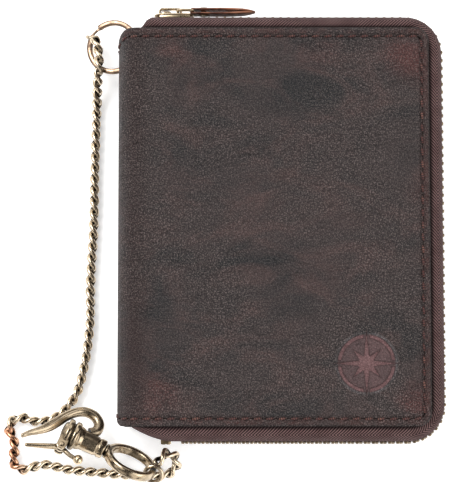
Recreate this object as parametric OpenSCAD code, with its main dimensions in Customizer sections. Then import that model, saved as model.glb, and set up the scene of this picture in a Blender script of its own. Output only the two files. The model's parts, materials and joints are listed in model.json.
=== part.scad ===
// Zip-round leather wallet on a curb chain with a swivel snap hook.
// It lies on its back cover: +Z goes through the thickness, +Y is its height and the spine is at -X.
// The origin is the centre of the back cover's outer face.

/* [Wallet] */
// Width of each cover, from the spine to the zipped edge
cover_w = 92; // [91:0.5:93]
// Height of each cover
cover_h = 117.8; // [117:0.4:119]
// Thickness of the closed wallet
wallet_t = 25; // [24.5:0.25:26]
// Radius of the covers' corners on the zipped side
corner_r = 4; // [3.8:0.1:5]
// Thickness of the cover leather
leather_t = 1.4; // [1.2:0.1:1.5]

/* [Zip] */
// How far the tape bulges out past the covers
bulge = 4; // [3.5:0.25:4.5]
// Radius of the zip's line round the corners
teeth_r = 10.5; // [9.5:0.25:11.5]
// Thickness of the tape
tape_t = 0.7; // [0.5:0.1:0.8]
// Distance from one tooth of a row to the next
tooth_pitch = 2.4; // [2.2:0.1:3]
// Length of the slider
slider_l = 12; // [11:0.5:13]
// Length of the leather pull
pull_l = 20.4; // [15:0.2:22]

/* [Ring and chain] */
// Radius of the split ring at the middle of its wire
ring_r = 7.5; // [7.4:0.1:7.6]
// Radius of the split ring's wire
ring_wire_r = 0.8; // [0.7:0.05:0.85]
// Radius of the tube that stands for the curb chain
chain_r = 1.5; // [1.3:0.1:1.6]

/* [Hook] */
// Outer radius of the swivel eye
eye_r = 8.2; // [7.8:0.1:8.4]
// Radius of the hook's barrel
barrel_r = 2.9; // [2.7:0.1:3.1]
// Radius of the two collars on the barrel
collar_r = 4; // [3.8:0.1:4.2]
// Radius of the jaw's rod where it is thickest
jaw_r = 1.6; // [1.4:0.1:1.7]

/* [Hidden] */
$fn = 48;

half_w = cover_w / 2;
half_h = cover_h / 2;
mid_z = wallet_t / 2;
corner_x = half_w - corner_r;
corner_y = half_h - corner_r;

// Spine: a leather wall with a small bend at the back and a larger one at the front, where it folds
spine_bend_r = 5;
fold_r = 6;
wall_top_z = wallet_t - fold_r;
back_edge_x = -half_w + spine_bend_r;
front_edge_x = -half_w + fold_r;

// Layers of each half, from its cover inwards
board_t = 0.7;
lining_t = 0.6;
board_inset = 6;
lining_left_x = -37;
lining_inset = 1.2;
inner_z = leather_t + board_t + lining_t;

// Tape: a flat flange under the cover's edge, a quarter bend, then a straight band up to the teeth
flange_w = 3.5;
flange_z = leather_t + tape_t / 2;
straight_half = 4.4;
bend_top_z = mid_z - straight_half;
tape_left_x = -39.3;
bend_steps = 8;

// Teeth: two rows that meet at half the thickness, half a pitch apart
tooth_w = 1.3;
tooth_out = 1.1;
tooth_h = 1.35;
row_gap = 0.15;
stop_w = 1.1;
teeth_left_x = -31;
zip_corner_x = half_w + bulge - teeth_r;
zip_corner_y = half_h + bulge - teeth_r;
top_len = zip_corner_x - teeth_left_x;
bend_len = PI / 2 * teeth_r;
side_len = 2 * zip_corner_y;
row_len = 2 * top_len + 2 * bend_len + side_len;
teeth_y = half_h + bulge;

// Slider: two plates with turned edges, joined by a post, at the closed end of the zip
slider_x = -29.7;
plate_t = 0.7;
plate_gap = 2.6;
plate_h = 8.4;
flange_gap = 0.65;
slot_h = 0.7;
bail_x = -28.6;
bail_y = teeth_y + plate_gap / 2 + plate_t + 1.0;
bail_wire_r = 0.45;
bail_half = 3.4;
bail_l = 4.6;
tab_t = 1.8;
tab_x = bail_x + bail_l - 1.6;

// Ring: it passes through an eyelet low in the spine and over the spine's open end
ring_tilt = 15;
ring_c = [-48.4, 56.3, 6.7];
hole_y = 49.5;
hole_z = 7.5;
eyelet_bore_r = 2;
eyelet_tube_r = 2.5;
eyelet_flange_r = 3.4;
link_angle = 157;
link_r = 1.95;
link_wire_r = 0.55;

// Hook: it lies along its swivel axis, from the eye up and away to the jaw's tip
eye_c = [-42.5, -69.4, 8.5];
hook_azimuth = 155;
hook_rise = 5;
eye_roll = 66;
claw_roll = 28;
collar_x = 19.7;
barrel_x0 = 8.6;
stem_r = 1.5;
running_gap = 0.06;
head_r = 2.05;
gate_pivot = [20.9, 5.2];
gate_tip = [30.2, 9.2];
knob_at = [14.6, 7.0];
knob_r = 1.45;

// The jaw's rod, in the hook's own plane, from the barrel round to its tip
JAW = [[14.6, -3.0], [13.0, -4.6], [13.2, -7.0], [15.2, -8.7], [18.0, -8.9], [20.8, -7.4], [23.2, -4.6],
       [25.0, -1.6], [26.8, 1.2], [28.8, 3.4], [30.8, 5.2], [32.8, 7.4]];

// The chain's route over the surface that the wallet lies on
ROUTE = [[-54.0, 58.6, 7.0], [-53.1, 55.6, 7.6], [-52.7, 52.6, 8.1], [-52.7, 49.6, 8.1], [-53.0, 46.4, 6.6],
         [-53.3, 43.0, 4.2], [-53.5, 39.2, 2.3], [-53.7, 34.6, 1.7], [-53.9, 27, 1.7], [-54.1, 18, 1.7],
         [-54.2, 9, 1.7], [-54.4, 0, 1.7], [-54.9, -8.8, 1.7], [-55.2, -17, 1.7], [-55.2, -25.6, 1.7],
         [-55.6, -31.4, 1.7], [-56.5, -38.4, 1.7], [-58.5, -47, 1.7], [-61.2, -52, 1.7], [-64.6, -55.4, 1.7],
         [-68.4, -57.0, 1.7], [-72.4, -57.0, 1.7], [-75.6, -56.3, 1.7], [-78.3, -57.2, 1.7], [-79.3, -59.6, 1.7],
         [-78.2, -62.6, 1.7], [-77.7, -65.6, 1.7], [-78.0, -68.4, 1.7], [-76.8, -70.8, 1.7], [-74.0, -71.4, 1.7],
         [-71.1, -70.5, 1.7], [-68.0, -70.3, 1.7], [-64.6, -71.0, 1.7], [-61.3, -71.7, 1.7], [-57.6, -72.1, 1.7],
         [-52.4, -72.6, 1.7], [-48.2, -72.9, 1.7], [-43.9, -73.2, 1.7], [-39.4, -73.5, 1.7], [-35.2, -73.6, 1.7],
         [-31.6, -73.0, 2.0], [-29.2, -70.8, 3.2], [-29.4, -68.0, 5.0], [-31.8, -66.9, 6.8], [-34.4, -69.5, 8.1]];
RING_EVERY = 2.9;
SIDES = 8;

// Smooth curve through hand-chosen points
function spline_at(p, i, t) =
  let (n = len(p) - 1, a = p[max(i - 1, 0)], b = p[i], c = p[min(i + 1, n)], d = p[min(i + 2, n)])
  0.5 * (2 * b + (c - a) * t + (2 * a - 5 * b + 4 * c - d) * t * t + (3 * b - a - 3 * c + d) * t * t * t);
function steps_of(p, i, every) = max(1, round(norm(p[i + 1] - p[i]) / every));
function smooth_path(p, every) = [
  for (i = [0 : len(p) - 2]) for (k = [0 : steps_of(p, i, every) - 1]) spline_at(p, i, k / steps_of(p, i, every)),
  p[len(p) - 1]
];
function unit(v) = v / norm(v);
function path_way(p, i) = unit(p[min(i + 1, len(p) - 1)] - p[max(i - 1, 0)]);
function circle_at(c, way, up, r, sides) =
  let (u = unit(cross(way, up)), v = cross(u, way))
  [for (k = [0 : sides - 1]) c + r * (cos(360 * k / sides) * u + sin(360 * k / sides) * v)];

// A round tube swept along a path, with a radius for each of the path's points
module tube(p, radii, up, sides) {
  n = len(p);
  points = [for (i = [0 : n - 1]) each circle_at(p[i], path_way(p, i), up, radii[i], sides)];
  walls = [for (i = [0 : n - 2]) for (k = [0 : sides - 1])
    let (j = (k + 1) % sides) [i * sides + k, (i + 1) * sides + k, (i + 1) * sides + j, i * sides + j]];
  first = [for (k = [0 : sides - 1]) k];
  last = [for (k = [sides - 1 : -1 : 0]) (n - 1) * sides + k];
  polyhedron(points = points, faces = concat([first], walls, [last]));
}

// Cover outline: square at the spine, rounded on the zipped side
module cover_outline(left_x, inset) {
  right_x = half_w - inset;
  top_y = half_h - inset;
  r = max(corner_r - inset, 0.6);
  translate([left_x, -top_y]) square([right_x - r - left_x, 2 * top_y]);
  translate([left_x, -top_y + r]) square([right_x - left_x, 2 * (top_y - r)]);
  for (s = [-1, 1]) translate([right_x - r, s * (top_y - r)]) circle(r);
}
module slab(z, t) {
  translate([0, 0, z]) linear_extrude(t) children();
}
module panel(x0, x1, y0, y1, r) {
  translate([x0 + r, y0]) square([x1 - x0 - 2 * r, y1 - y0]);
  translate([x0, y0 + r]) square([x1 - x0, y1 - y0 - 2 * r]);
  for (x = [x0 + r, x1 - r]) for (y = [y0 + r, y1 - r]) translate([x, y]) circle(r);
}
// The front half mirrors the back half through the middle of the thickness
module front_side() {
  translate([0, 0, wallet_t]) mirror([0, 0, 1]) children();
}
module quarter_bend(r, at, turn) {
  translate(at) rotate(turn) intersection() {
    difference() {
      circle(r);
      circle(r - leather_t);
    }
    square(r + 1);
  }
}
module along_spine() {
  translate([0, half_h, 0]) rotate([90, 0, 0]) linear_extrude(cover_h) children();
}

// Covers and spine
module back_cover() {
  color([0.29, 0.22, 0.21]) slab(0, leather_t) cover_outline(back_edge_x, 0);
}
module front_cover() {
  color([0.29, 0.22, 0.21]) slab(wallet_t - leather_t, leather_t) cover_outline(front_edge_x, 0);
}
module spine() {
  color([0.25, 0.19, 0.18]) difference() {
    union() {
      along_spine() quarter_bend(spine_bend_r, [back_edge_x, spine_bend_r], 180);
      along_spine() translate([-half_w, spine_bend_r]) square([leather_t, wall_top_z - spine_bend_r]);
    }
    translate([-half_w - 3, hole_y, hole_z]) rotate([0, 90, 0]) cylinder(r = eyelet_tube_r, h = 6);
  }
}
module spine_fold() {
  color([0.25, 0.19, 0.18]) along_spine() quarter_bend(fold_r, [front_edge_x, wall_top_z], 90);
}
module eyelet() {
  x0 = -half_w - 0.4;
  color([0.66, 0.52, 0.34]) translate([x0, hole_y, hole_z]) rotate([0, 90, 0]) difference() {
    union() {
      cylinder(r = eyelet_tube_r, h = leather_t + 0.8);
      cylinder(r = eyelet_flange_r, h = 0.4);
      translate([0, 0, leather_t + 0.4]) cylinder(r = eyelet_flange_r, h = 0.4);
    }
    translate([0, 0, -1]) cylinder(r = eyelet_bore_r, h = 6);
  }
}

// Boards and linings
module board() {
  slab(leather_t, board_t) cover_outline(lining_left_x, board_inset);
}
module lining() {
  slab(leather_t + board_t, lining_t) cover_outline(lining_left_x, lining_inset);
}
module back_board() {
  color([0.45, 0.4, 0.34]) board();
}
module front_board() {
  color([0.45, 0.4, 0.34]) front_side() board();
}
module back_lining() {
  color([0.16, 0.13, 0.12]) lining();
}
module front_lining() {
  color([0.16, 0.13, 0.12]) front_side() lining();
}

// Zip tape
bend_rise = bend_top_z - flange_z;
function bend_mid(a) = [bulge * sin(a), bend_top_z - bend_rise * cos(a)];
function bend_side(a) = unit([bend_rise * sin(a), -bulge * cos(a)]);
function bend_line(side) = [for (k = [0 : bend_steps]) let (a = 90 * k / bend_steps)
  bend_mid(a) + side * tape_t / 2 * bend_side(a)];
function reversed(v) = [for (i = [len(v) - 1 : -1 : 0]) v[i]];
tape_edge_z = mid_z - row_gap - tooth_h;
TAPE = concat([[-flange_w, flange_z - tape_t / 2]], bend_line(1), [[bulge + tape_t / 2, tape_edge_z]],
              [[bulge - tape_t / 2, tape_edge_z]], reversed(bend_line(-1)),
              [[-flange_w, flange_z + tape_t / 2]]);
module straight_band(left_x) {
  translate([left_x, half_h, 0]) rotate([90, 0, 90]) linear_extrude(zip_corner_x - left_x) polygon(TAPE);
}
module corner_band() {
  translate([zip_corner_x, zip_corner_y, 0]) rotate_extrude(angle = 90) translate([teeth_r - bulge, 0]) polygon(TAPE);
}
module tape() {
  translate([half_w, zip_corner_y, 0]) rotate([90, 0, 0]) linear_extrude(side_len) polygon(TAPE);
  straight_band(tape_left_x);
  corner_band();
  mirror([0, 1, 0]) straight_band(tape_left_x);
  mirror([0, 1, 0]) corner_band();
}
module zip_tape_back() {
  color([0.37, 0.29, 0.28]) tape();
}
module zip_tape_front() {
  color([0.37, 0.29, 0.28]) front_side() tape();
}

// Zip teeth: one closed comb a row, with each tooth square to the zip's path
function arc_pt(a, off) = [zip_corner_x + (teeth_r + off) * cos(a), (teeth_r + off) * sin(a)];
function zip_at(s, off) =
  s < top_len ? [teeth_left_x + s, teeth_y + off] :
  s < top_len + bend_len ? arc_pt(90 - 90 * (s - top_len) / bend_len, off) + [0, zip_corner_y] :
  s < top_len + bend_len + side_len ? [half_w + bulge + off, zip_corner_y - (s - top_len - bend_len)] :
  s < row_len - top_len ? arc_pt(-90 * (s - top_len - bend_len - side_len) / bend_len, off) - [0, zip_corner_y] :
  [zip_corner_x - (s - row_len + top_len), -teeth_y - off];
function tooth_line(s, side) = [
  zip_at(s - tooth_w / 2, side * tape_t / 2), zip_at(s - tooth_w / 2, side * tooth_out),
  zip_at(s + tooth_w / 2, side * tooth_out), zip_at(s + tooth_w / 2, side * tape_t / 2)];
function comb(starts) = concat([for (s = starts) each tooth_line(s, 1)],
                               reversed([for (s = starts) each tooth_line(s, -1)]));
module teeth(first_s) {
  slab(tape_edge_z, tooth_h) polygon(comb([first_s : tooth_pitch : row_len - 4]));
}
module zip_teeth_back() {
  color([0.62, 0.5, 0.33]) teeth(1);
}
module zip_teeth_front() {
  color([0.62, 0.5, 0.33]) front_side() teeth(1 + 4.5 * tooth_pitch);
}
module end_stop() {
  translate([teeth_left_x - 6.6, teeth_y - stop_w / 2, tape_edge_z]) cube([1.4, stop_w, tooth_h]);
}
module zip_stop_back() {
  color([0.66, 0.54, 0.36]) end_stop();
}
module zip_stop_front() {
  color([0.66, 0.54, 0.36]) front_side() end_stop();
}
module zip_bottom_stop() {
  color([0.66, 0.54, 0.36]) translate([teeth_left_x - 2.4, -teeth_y - 1.3, tape_edge_z]) cube([3, 2.6, tooth_h]);
}

// Main slider and its pull
module plate(y) {
  translate([slider_x, y, mid_z]) rotate([-90, 0, 0]) linear_extrude(plate_t)
    panel(-slider_l / 2, slider_l / 2, -plate_h / 2, plate_h / 2, 1.6);
}
module turned_edge(y, t) {
  for (s = [-1, 1]) translate([slider_x - slider_l / 2 + 1.6, y, mid_z + s * (plate_h - slot_h) / 2 - slot_h / 2])
    cube([slider_l - 3.2, t, slot_h]);
}
module zip_slider() {
  inner_y = teeth_y - plate_gap / 2;
  outer_y = teeth_y + plate_gap / 2;
  edge_t = plate_gap / 2 - flange_gap;
  color([0.74, 0.63, 0.46]) {
    plate(inner_y - plate_t);
    plate(outer_y);
    turned_edge(inner_y, edge_t);
    turned_edge(outer_y - edge_t, edge_t);
    translate([slider_x - slider_l / 2 + 0.8, inner_y, mid_z - 0.9]) cube([1.8, plate_gap, 1.8]);
    difference() {
      translate([bail_x - 6, outer_y + plate_t, mid_z - 1.2]) cube([7.6, 2.2, 2.4]);
      translate([bail_x - 4.8, outer_y + plate_t - 1, mid_z - 2]) cube([5.6, 2.6, 4]);
    }
  }
}
module pull_bail() {
  color([0.74, 0.63, 0.46]) {
    for (x = [bail_x, bail_x + bail_l]) translate([x, bail_y, mid_z - bail_half])
      cylinder(r = bail_wire_r, h = 2 * bail_half);
    for (s = [-1, 1]) {
      translate([bail_x, bail_y, mid_z + s * bail_half]) rotate([0, 90, 0]) cylinder(r = bail_wire_r, h = bail_l);
      for (x = [bail_x, bail_x + bail_l]) translate([x, bail_y, mid_z + s * bail_half]) sphere(bail_wire_r);
    }
  }
}
module pull_tab() {
  color([0.4, 0.28, 0.22]) difference() {
    translate([0, bail_y + tab_t / 2, mid_z]) rotate([90, 0, 0]) linear_extrude(tab_t)
      panel(tab_x, tab_x + pull_l, -2.8, 2.8, 0.8);
    translate([bail_x + bail_l, bail_y, mid_z - 6]) cylinder(r = bail_wire_r + 0.05, h = 12);
    translate([bail_x + bail_l + 3.2, bail_y - 3, mid_z]) rotate([-90, 0, 0]) cylinder(r = 0.8, h = 6);
  }
}
module pull_rivet() {
  color([0.66, 0.54, 0.36]) translate([bail_x + bail_l + 3.2, bail_y - tab_t / 2, mid_z]) rotate([-90, 0, 0]) {
    cylinder(r = 0.8, h = tab_t);
    translate([0, 0, -0.35]) cylinder(r = 1.4, h = 0.35);
    translate([0, 0, tab_t]) cylinder(r = 1.4, h = 0.35);
  }
}

// Pockets: open pouches of thin leather on the linings
pocket_t = 0.9;
note_z = inner_z;
note_gap = 1.2;
module note_pocket() {
  color([0.3, 0.22, 0.19]) {
    slab(note_z + note_gap, pocket_t) panel(-36, 43.4, -55.6, 46, 1.5);
    slab(note_z, note_gap) difference() {
      panel(-36, 43.4, -55.6, 46, 1.5);
      translate([-34.6, -54.2]) square([76.6, 110]);
    }
  }
}
coin_z = note_z + note_gap + pocket_t;
coin_t = 1.6;
coin_top_y = -2;
coin_x0 = -30;
coin_x1 = 38;
module coin_pocket() {
  color([0.33, 0.24, 0.21]) slab(coin_z, coin_t) difference() {
    panel(coin_x0, coin_x1, -52, coin_top_y, 2);
    translate([coin_x0 + 4, coin_top_y - 8.4]) square([coin_x1 - coin_x0 - 8, 3.4]);
  }
}
coin_zip_y = coin_top_y - 6.7;
module coin_zip() {
  color([0.55, 0.45, 0.32]) translate([coin_x0 + 4.2, coin_zip_y - 1.5, coin_z]) {
    cube([coin_x1 - coin_x0 - 8.4, 3, 0.6]);
    for (x = [0.8 : 2 : coin_x1 - coin_x0 - 10]) translate([x, 0.5, 0.6]) cube([1.1, 2, 0.6]);
  }
}
coin_slider_x = coin_x0 + 9;
coin_slider_z = coin_z + coin_t + 0.2;
module coin_slider() {
  color([0.74, 0.63, 0.46]) {
    slab(coin_slider_z, 0.8) panel(coin_slider_x - 4, coin_slider_x + 4, coin_zip_y - 2.6, coin_zip_y + 2.6, 1.2);
    difference() {
      translate([coin_slider_x - 2.6, coin_zip_y - 0.8, coin_slider_z + 0.8]) cube([5, 1.6, 1.9]);
      translate([coin_slider_x - 1.8, coin_zip_y - 2, coin_slider_z + 0.7]) cube([3.4, 4, 1.4]);
    }
  }
}
coin_bail_x = coin_slider_x + 0.8;
coin_bail_z = coin_slider_z + 1.45;
module coin_pull() {
  color([0.74, 0.63, 0.46]) {
    translate([coin_bail_x, coin_zip_y - 2, coin_bail_z]) rotate([-90, 0, 0]) cylinder(r = 0.45, h = 4);
    for (s = [-1, 1]) translate([coin_bail_x - 0.45, coin_zip_y + s * 2 - 0.45, coin_bail_z - 0.45])
      cube([3.4, 0.9, 0.9]);
    translate([0, 0, coin_bail_z - 0.45]) linear_extrude(0.9)
      panel(coin_bail_x + 2.6, coin_bail_x + 9, coin_zip_y - 2.45, coin_zip_y + 2.45, 1);
  }
}
card_t = 0.8;
card_step = 13;
module card_pocket(k) {
  color([0.33, 0.24, 0.21]) front_side() slab(inner_z + (k - 1) * (card_t + 0.2), card_t)
    panel(-36, 43.4, -55.6, 36 - (k - 1) * card_step, 1.5);
}
module card_pocket_1() {
  card_pocket(1);
}
module card_pocket_2() {
  card_pocket(2);
}
module card_pocket_3() {
  card_pocket(3);
}
module card_pocket_4() {
  card_pocket(4);
}

// Split ring, with a groove between its two turns
module at_ring() {
  translate(ring_c) rotate([0, -ring_tilt, 0]) children();
}
module split_ring() {
  color([0.72, 0.53, 0.42]) at_ring() rotate_extrude() translate([ring_r, 0]) difference() {
    circle(ring_wire_r);
    for (s = [-1, 1]) translate([s * ring_wire_r, 0]) square([0.4, 0.14], center = true);
  }
}

// Chain
module chain_link_top() {
  color([0.68, 0.55, 0.36]) at_ring() rotate(link_angle) translate([ring_r - 0.5, 0, 0]) rotate([90, 0, 0])
    rotate_extrude() translate([link_r, 0]) circle(link_wire_r);
}
module chain() {
  path = smooth_path(ROUTE, RING_EVERY);
  color([0.66, 0.54, 0.36]) tube(path, [for (p = path) chain_r], [0, 0, 1], SIDES);
}

// Hook, built along +X from the eye's centre
module at_hook(roll) {
  translate(eye_c) rotate([0, 0, hook_azimuth]) rotate([0, -hook_rise, 0]) rotate([roll, 0, 0]) children();
}
module chain_link_end() {
  color([0.68, 0.55, 0.36]) at_hook(eye_roll) translate([-eye_r + 0.6, 0.6, 0]) rotate([90, 0, 0])
    rotate_extrude() translate([2.55, 0]) circle(link_wire_r + 0.05);
}
module swivel_eye() {
  color([0.6, 0.5, 0.34]) at_hook(eye_roll) {
    rotate_extrude() translate([eye_r - 1.0, 0]) {
      square([1.2, 2.9], center = true);
      square([2, 1.9], center = true);
      for (x = [-0.5, 0.5]) for (y = [-0.95, 0.95]) translate([x, y]) circle(0.5);
    }
    translate([eye_r - 0.4, 0, 0]) rotate([0, 90, 0]) cylinder(r = stem_r, h = 6.4);
    translate([eye_r + 6, 0, 0]) rotate([0, 90, 0]) cylinder(r = head_r, h = 1);
  }
}
module hook_barrel() {
  color([0.6, 0.5, 0.34]) at_hook(claw_roll) {
    difference() {
      union() {
        translate([barrel_x0, 0, 0]) rotate([0, 90, 0]) cylinder(r = barrel_r, h = 10.2);
        translate([collar_x - 2.1, 0, 0]) rotate([0, 90, 0]) cylinder(r = collar_r, h = 1.6);
        translate([collar_x + 0.1, 0, 0]) rotate([0, 90, 0]) cylinder(r = collar_r, h = 1.6);
        translate([collar_x - 1, 0, 0]) rotate([0, 90, 0]) cylinder(r = 3.4, h = 1.6);
        translate([collar_x + 0.5, 3.4, -2.3]) cube([2.4, 3.2, 4.6]);
      }
      translate([barrel_x0 - 1, 0, 0]) rotate([0, 90, 0]) cylinder(r = stem_r + running_gap, h = 8);
      translate([eye_r + 5.8, 0, 0]) rotate([0, 90, 0]) cylinder(r = head_r + 0.3, h = 1.4);
      translate([collar_x - 1.6, 3.0, -1.25]) cube([6, 5, 2.5]);
      translate([gate_pivot[0], gate_pivot[1], -4]) cylinder(r = 0.6, h = 8);
    }
  }
}
module hook_jaw() {
  flat = [for (p = JAW) [p[0], p[1], 0]];
  path = smooth_path(flat, 1.5);
  n = len(path) - 1;
  color([0.6, 0.5, 0.34]) at_hook(claw_roll)
    tube(path, [for (i = [0 : n]) jaw_r - 0.8 * pow(i / n, 3)], [0, 0, 1], 16);
}
module gate_pin() {
  color([0.55, 0.46, 0.32]) at_hook(claw_roll) translate([gate_pivot[0], gate_pivot[1], -2.5])
    cylinder(r = 0.6, h = 5);
}
module gate_spring() {
  color([0.6, 0.6, 0.58]) at_hook(claw_roll) translate([gate_pivot[0], gate_pivot[1], 0]) for (z = [-0.75, 0.75])
    translate([0, 0, z]) rotate_extrude() translate([1.05, 0]) circle(0.2);
}
module gate_bar(a, b, r) {
  way = b - a;
  translate([a[0], a[1], 0]) rotate(atan2(way[1], way[0])) rotate([0, 90, 0]) cylinder(r = r, h = norm(way));
}
module hook_gate() {
  color([0.62, 0.52, 0.36]) at_hook(claw_roll) difference() {
    union() {
      translate([gate_pivot[0], gate_pivot[1], -0.5]) cylinder(r = 1.5, h = 1);
      difference() {
        gate_bar(gate_pivot, gate_tip, 0.9);
        translate([gate_pivot[0], gate_pivot[1], -2]) cylinder(r = 1.4, h = 4);
      }
      difference() {
        gate_bar(gate_pivot, knob_at, 0.75);
        translate([gate_pivot[0], gate_pivot[1], -2]) cylinder(r = 1.4, h = 4);
      }
    }
    translate([gate_pivot[0], gate_pivot[1], -2]) cylinder(r = 0.6 + running_gap, h = 4);
  }
}
module thumb_knob() {
  color([0.74, 0.63, 0.46]) at_hook(claw_roll) translate([knob_at[0], knob_at[1], 0.9]) sphere(knob_r);
}

back_cover();
spine();
spine_fold();
back_board();
back_lining();
zip_tape_back();
zip_teeth_back();
zip_stop_back();
zip_bottom_stop();
note_pocket();
coin_pocket();
coin_zip();
eyelet();
chain_link_top();
chain();
chain_link_end();
swivel_eye();
front_cover();
front_board();
front_lining();
zip_tape_front();
zip_teeth_front();
zip_stop_front();
card_pocket_1();
card_pocket_2();
card_pocket_3();
card_pocket_4();
zip_slider();
pull_bail();
pull_tab();
pull_rivet();
split_ring();
hook_barrel();
hook_jaw();
gate_pin();
gate_spring();
hook_gate();
thumb_knob();
coin_slider();
coin_pull();
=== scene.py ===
import json
import math

import bpy
import numpy as np
from mathutils import Matrix, Vector


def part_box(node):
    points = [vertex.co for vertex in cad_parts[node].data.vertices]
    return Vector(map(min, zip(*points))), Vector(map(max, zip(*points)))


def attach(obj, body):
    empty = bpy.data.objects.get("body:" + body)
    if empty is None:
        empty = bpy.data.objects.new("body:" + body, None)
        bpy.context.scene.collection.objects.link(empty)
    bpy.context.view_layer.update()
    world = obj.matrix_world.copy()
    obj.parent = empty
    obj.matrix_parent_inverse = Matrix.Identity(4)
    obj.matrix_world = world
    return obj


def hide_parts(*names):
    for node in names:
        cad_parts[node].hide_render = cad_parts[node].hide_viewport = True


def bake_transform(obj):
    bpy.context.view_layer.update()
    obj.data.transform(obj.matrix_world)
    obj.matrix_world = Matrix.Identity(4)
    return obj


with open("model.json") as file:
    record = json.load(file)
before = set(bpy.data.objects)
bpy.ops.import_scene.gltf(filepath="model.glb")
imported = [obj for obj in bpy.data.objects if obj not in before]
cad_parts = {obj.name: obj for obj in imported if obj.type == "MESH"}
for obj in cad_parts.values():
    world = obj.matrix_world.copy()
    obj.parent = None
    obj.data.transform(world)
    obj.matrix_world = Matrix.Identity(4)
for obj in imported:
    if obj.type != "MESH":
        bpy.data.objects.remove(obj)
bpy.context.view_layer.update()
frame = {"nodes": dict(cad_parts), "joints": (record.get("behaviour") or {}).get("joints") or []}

MM = 0.001
TAU = 2 * math.pi
RIGHT = Vector((1, 0, 0))
HEAD = Vector((0, 1, 0))
UP = Vector((0, 0, 1))

# Sizes of the wallet, read from the frame
FRONT_LOW, FRONT_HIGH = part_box("front_cover")
BACK_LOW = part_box("back_cover")[0]
TAPE_LOW, TAPE_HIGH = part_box("zip_tape_back")
HALF_W = FRONT_HIGH.x
HALF_H = FRONT_HIGH.y
THICK = FRONT_HIGH.z
MID_Z = THICK / 2
LEATHER_T = THICK - FRONT_LOW.z
BEND_R = BACK_LOW.x + HALF_W
FOLD_R = FRONT_LOW.x + HALF_W
WALL_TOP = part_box("spine")[1].z
CORNER_R = 4 * MM
HEAD_CORNER_R = 3.3 * MM
FOOT_CORNER_R = 1.2 * MM
LINK_PITCH = 3.35 * MM
LINK_WIRE = 1.35 * MM
LINK_WIDTH = 3.8 * MM


# ---------------------------------------------------------------- meshes

class Build:
    """Gathers the surfaces of one mesh, with UVs in metres."""

    def __init__(self, matrix=Matrix.Identity(4)):
        self.matrix = matrix
        self.points = []
        self.faces = []
        self.corners = []

    def face(self, indices, uvs):
        self.faces.append(indices)
        self.corners.extend(uvs)

    def surface(self, rows, wrap=True, loop=False, caps=True, us=None, vs=None):
        """A surface through rows of points.

        wrap closes each row, and loop joins the last row to the first.
        """
        start = len(self.points)
        count, width = len(rows), len(rows[0])
        us = us or running([sum(row, Vector()) / width for row in rows], loop)
        vs = vs or running(rows[0], wrap)
        for row in rows:
            self.points.extend(self.matrix @ Vector(p) for p in row)
        for i in range(count if loop else count - 1):
            near, far = start + i * width, start + (i + 1) % count * width
            for j in range(width if wrap else width - 1):
                k = (j + 1) % width
                uvs = [(us[i], vs[j]), (us[i + 1], vs[j]), (us[i + 1], vs[j + 1]), (us[i], vs[j + 1])]
                self.face((near + j, far + j, far + k, near + k), uvs)
        if caps and wrap and not loop:
            first = range(start + width - 1, start - 1, -1)
            last = range(start + (count - 1) * width, start + count * width)
            for ring in (first, last):
                self.face(tuple(ring), [(0.0, 0.0)] * width)

    def make(self, name, material, body=None, sharp=40):
        """The mesh as a piece that rides on a body."""
        mesh = bpy.data.meshes.new(name)
        mesh.from_pydata([tuple(p) for p in self.points], [], self.faces)
        layer = mesh.uv_layers.new(name="metres")
        layer.data.foreach_set("uv", np.array(self.corners, np.float32).ravel())
        mesh.shade_smooth()
        mesh.set_sharp_from_angle(angle=math.radians(sharp))
        mesh.materials.append(material)
        piece = bpy.data.objects.new(name, mesh)
        bpy.context.scene.collection.objects.link(piece)
        if body:
            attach(piece, body)
        return piece

    def stand_for(self, node, name, material, body, slot, sharp=40):
        """The mesh as the piece that is seen instead of a CAD node."""
        piece = self.make(name, material, body, sharp)
        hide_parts(node)
        return piece


def running(points, closed):
    """Distance travelled at each point, and back to the first one if the line is closed."""
    line = list(points) + ([points[0]] if closed else [])
    total = [0.0]
    for a, b in zip(line, line[1:]):
        total.append(total[-1] + (Vector(b) - Vector(a)).length)
    return total


def spline(points, spacing):
    """Catmull-Rom curve through given points."""
    p = [Vector(q) for q in points]
    last = len(p) - 1
    made = []
    for i in range(last):
        a, b, c, d = p[max(i - 1, 0)], p[i], p[i + 1], p[min(i + 2, last)]
        steps = max(1, round((c - b).length / spacing))
        for k in range(steps):
            t = k / steps
            bend = (2 * a - 5 * b + 4 * c - d) * t ** 2 + (3 * b - a - 3 * c + d) * t ** 3
            made.append(0.5 * (2 * b + (c - a) * t + bend))
    return made + [p[last]]


class Line:
    """A polyline that can be read at any distance along it."""

    def __init__(self, points, closed=False):
        self.stops = running(points, closed)
        self.points = np.array([tuple(p) for p in points] + ([tuple(points[0])] if closed else []))
        self.length = self.stops[-1]
        self.closed = closed

    def at(self, s):
        s = s % self.length if self.closed else min(max(s, 0.0), self.length)
        return Vector([float(np.interp(s, self.stops, axis)) for axis in self.points.T])

    def way(self, s, reach=0.2 * MM):
        return (self.at(s + reach) - self.at(s - reach)).normalized()


def oval(a, b, sides, squareness=2.0):
    """Outline of an ellipse, or of a rounder-cornered rectangle as squareness grows."""
    made = []
    for k in range(sides):
        c, s = math.cos(TAU * k / sides), math.sin(TAU * k / sides)
        size = (abs(c) ** squareness + abs(s) ** squareness) ** (-1 / squareness)
        made.append((a * size * c, b * size * s))
    return made


def ring_at(centre, side, up, outline):
    return [centre + a * side + b * up for a, b in outline]


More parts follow.
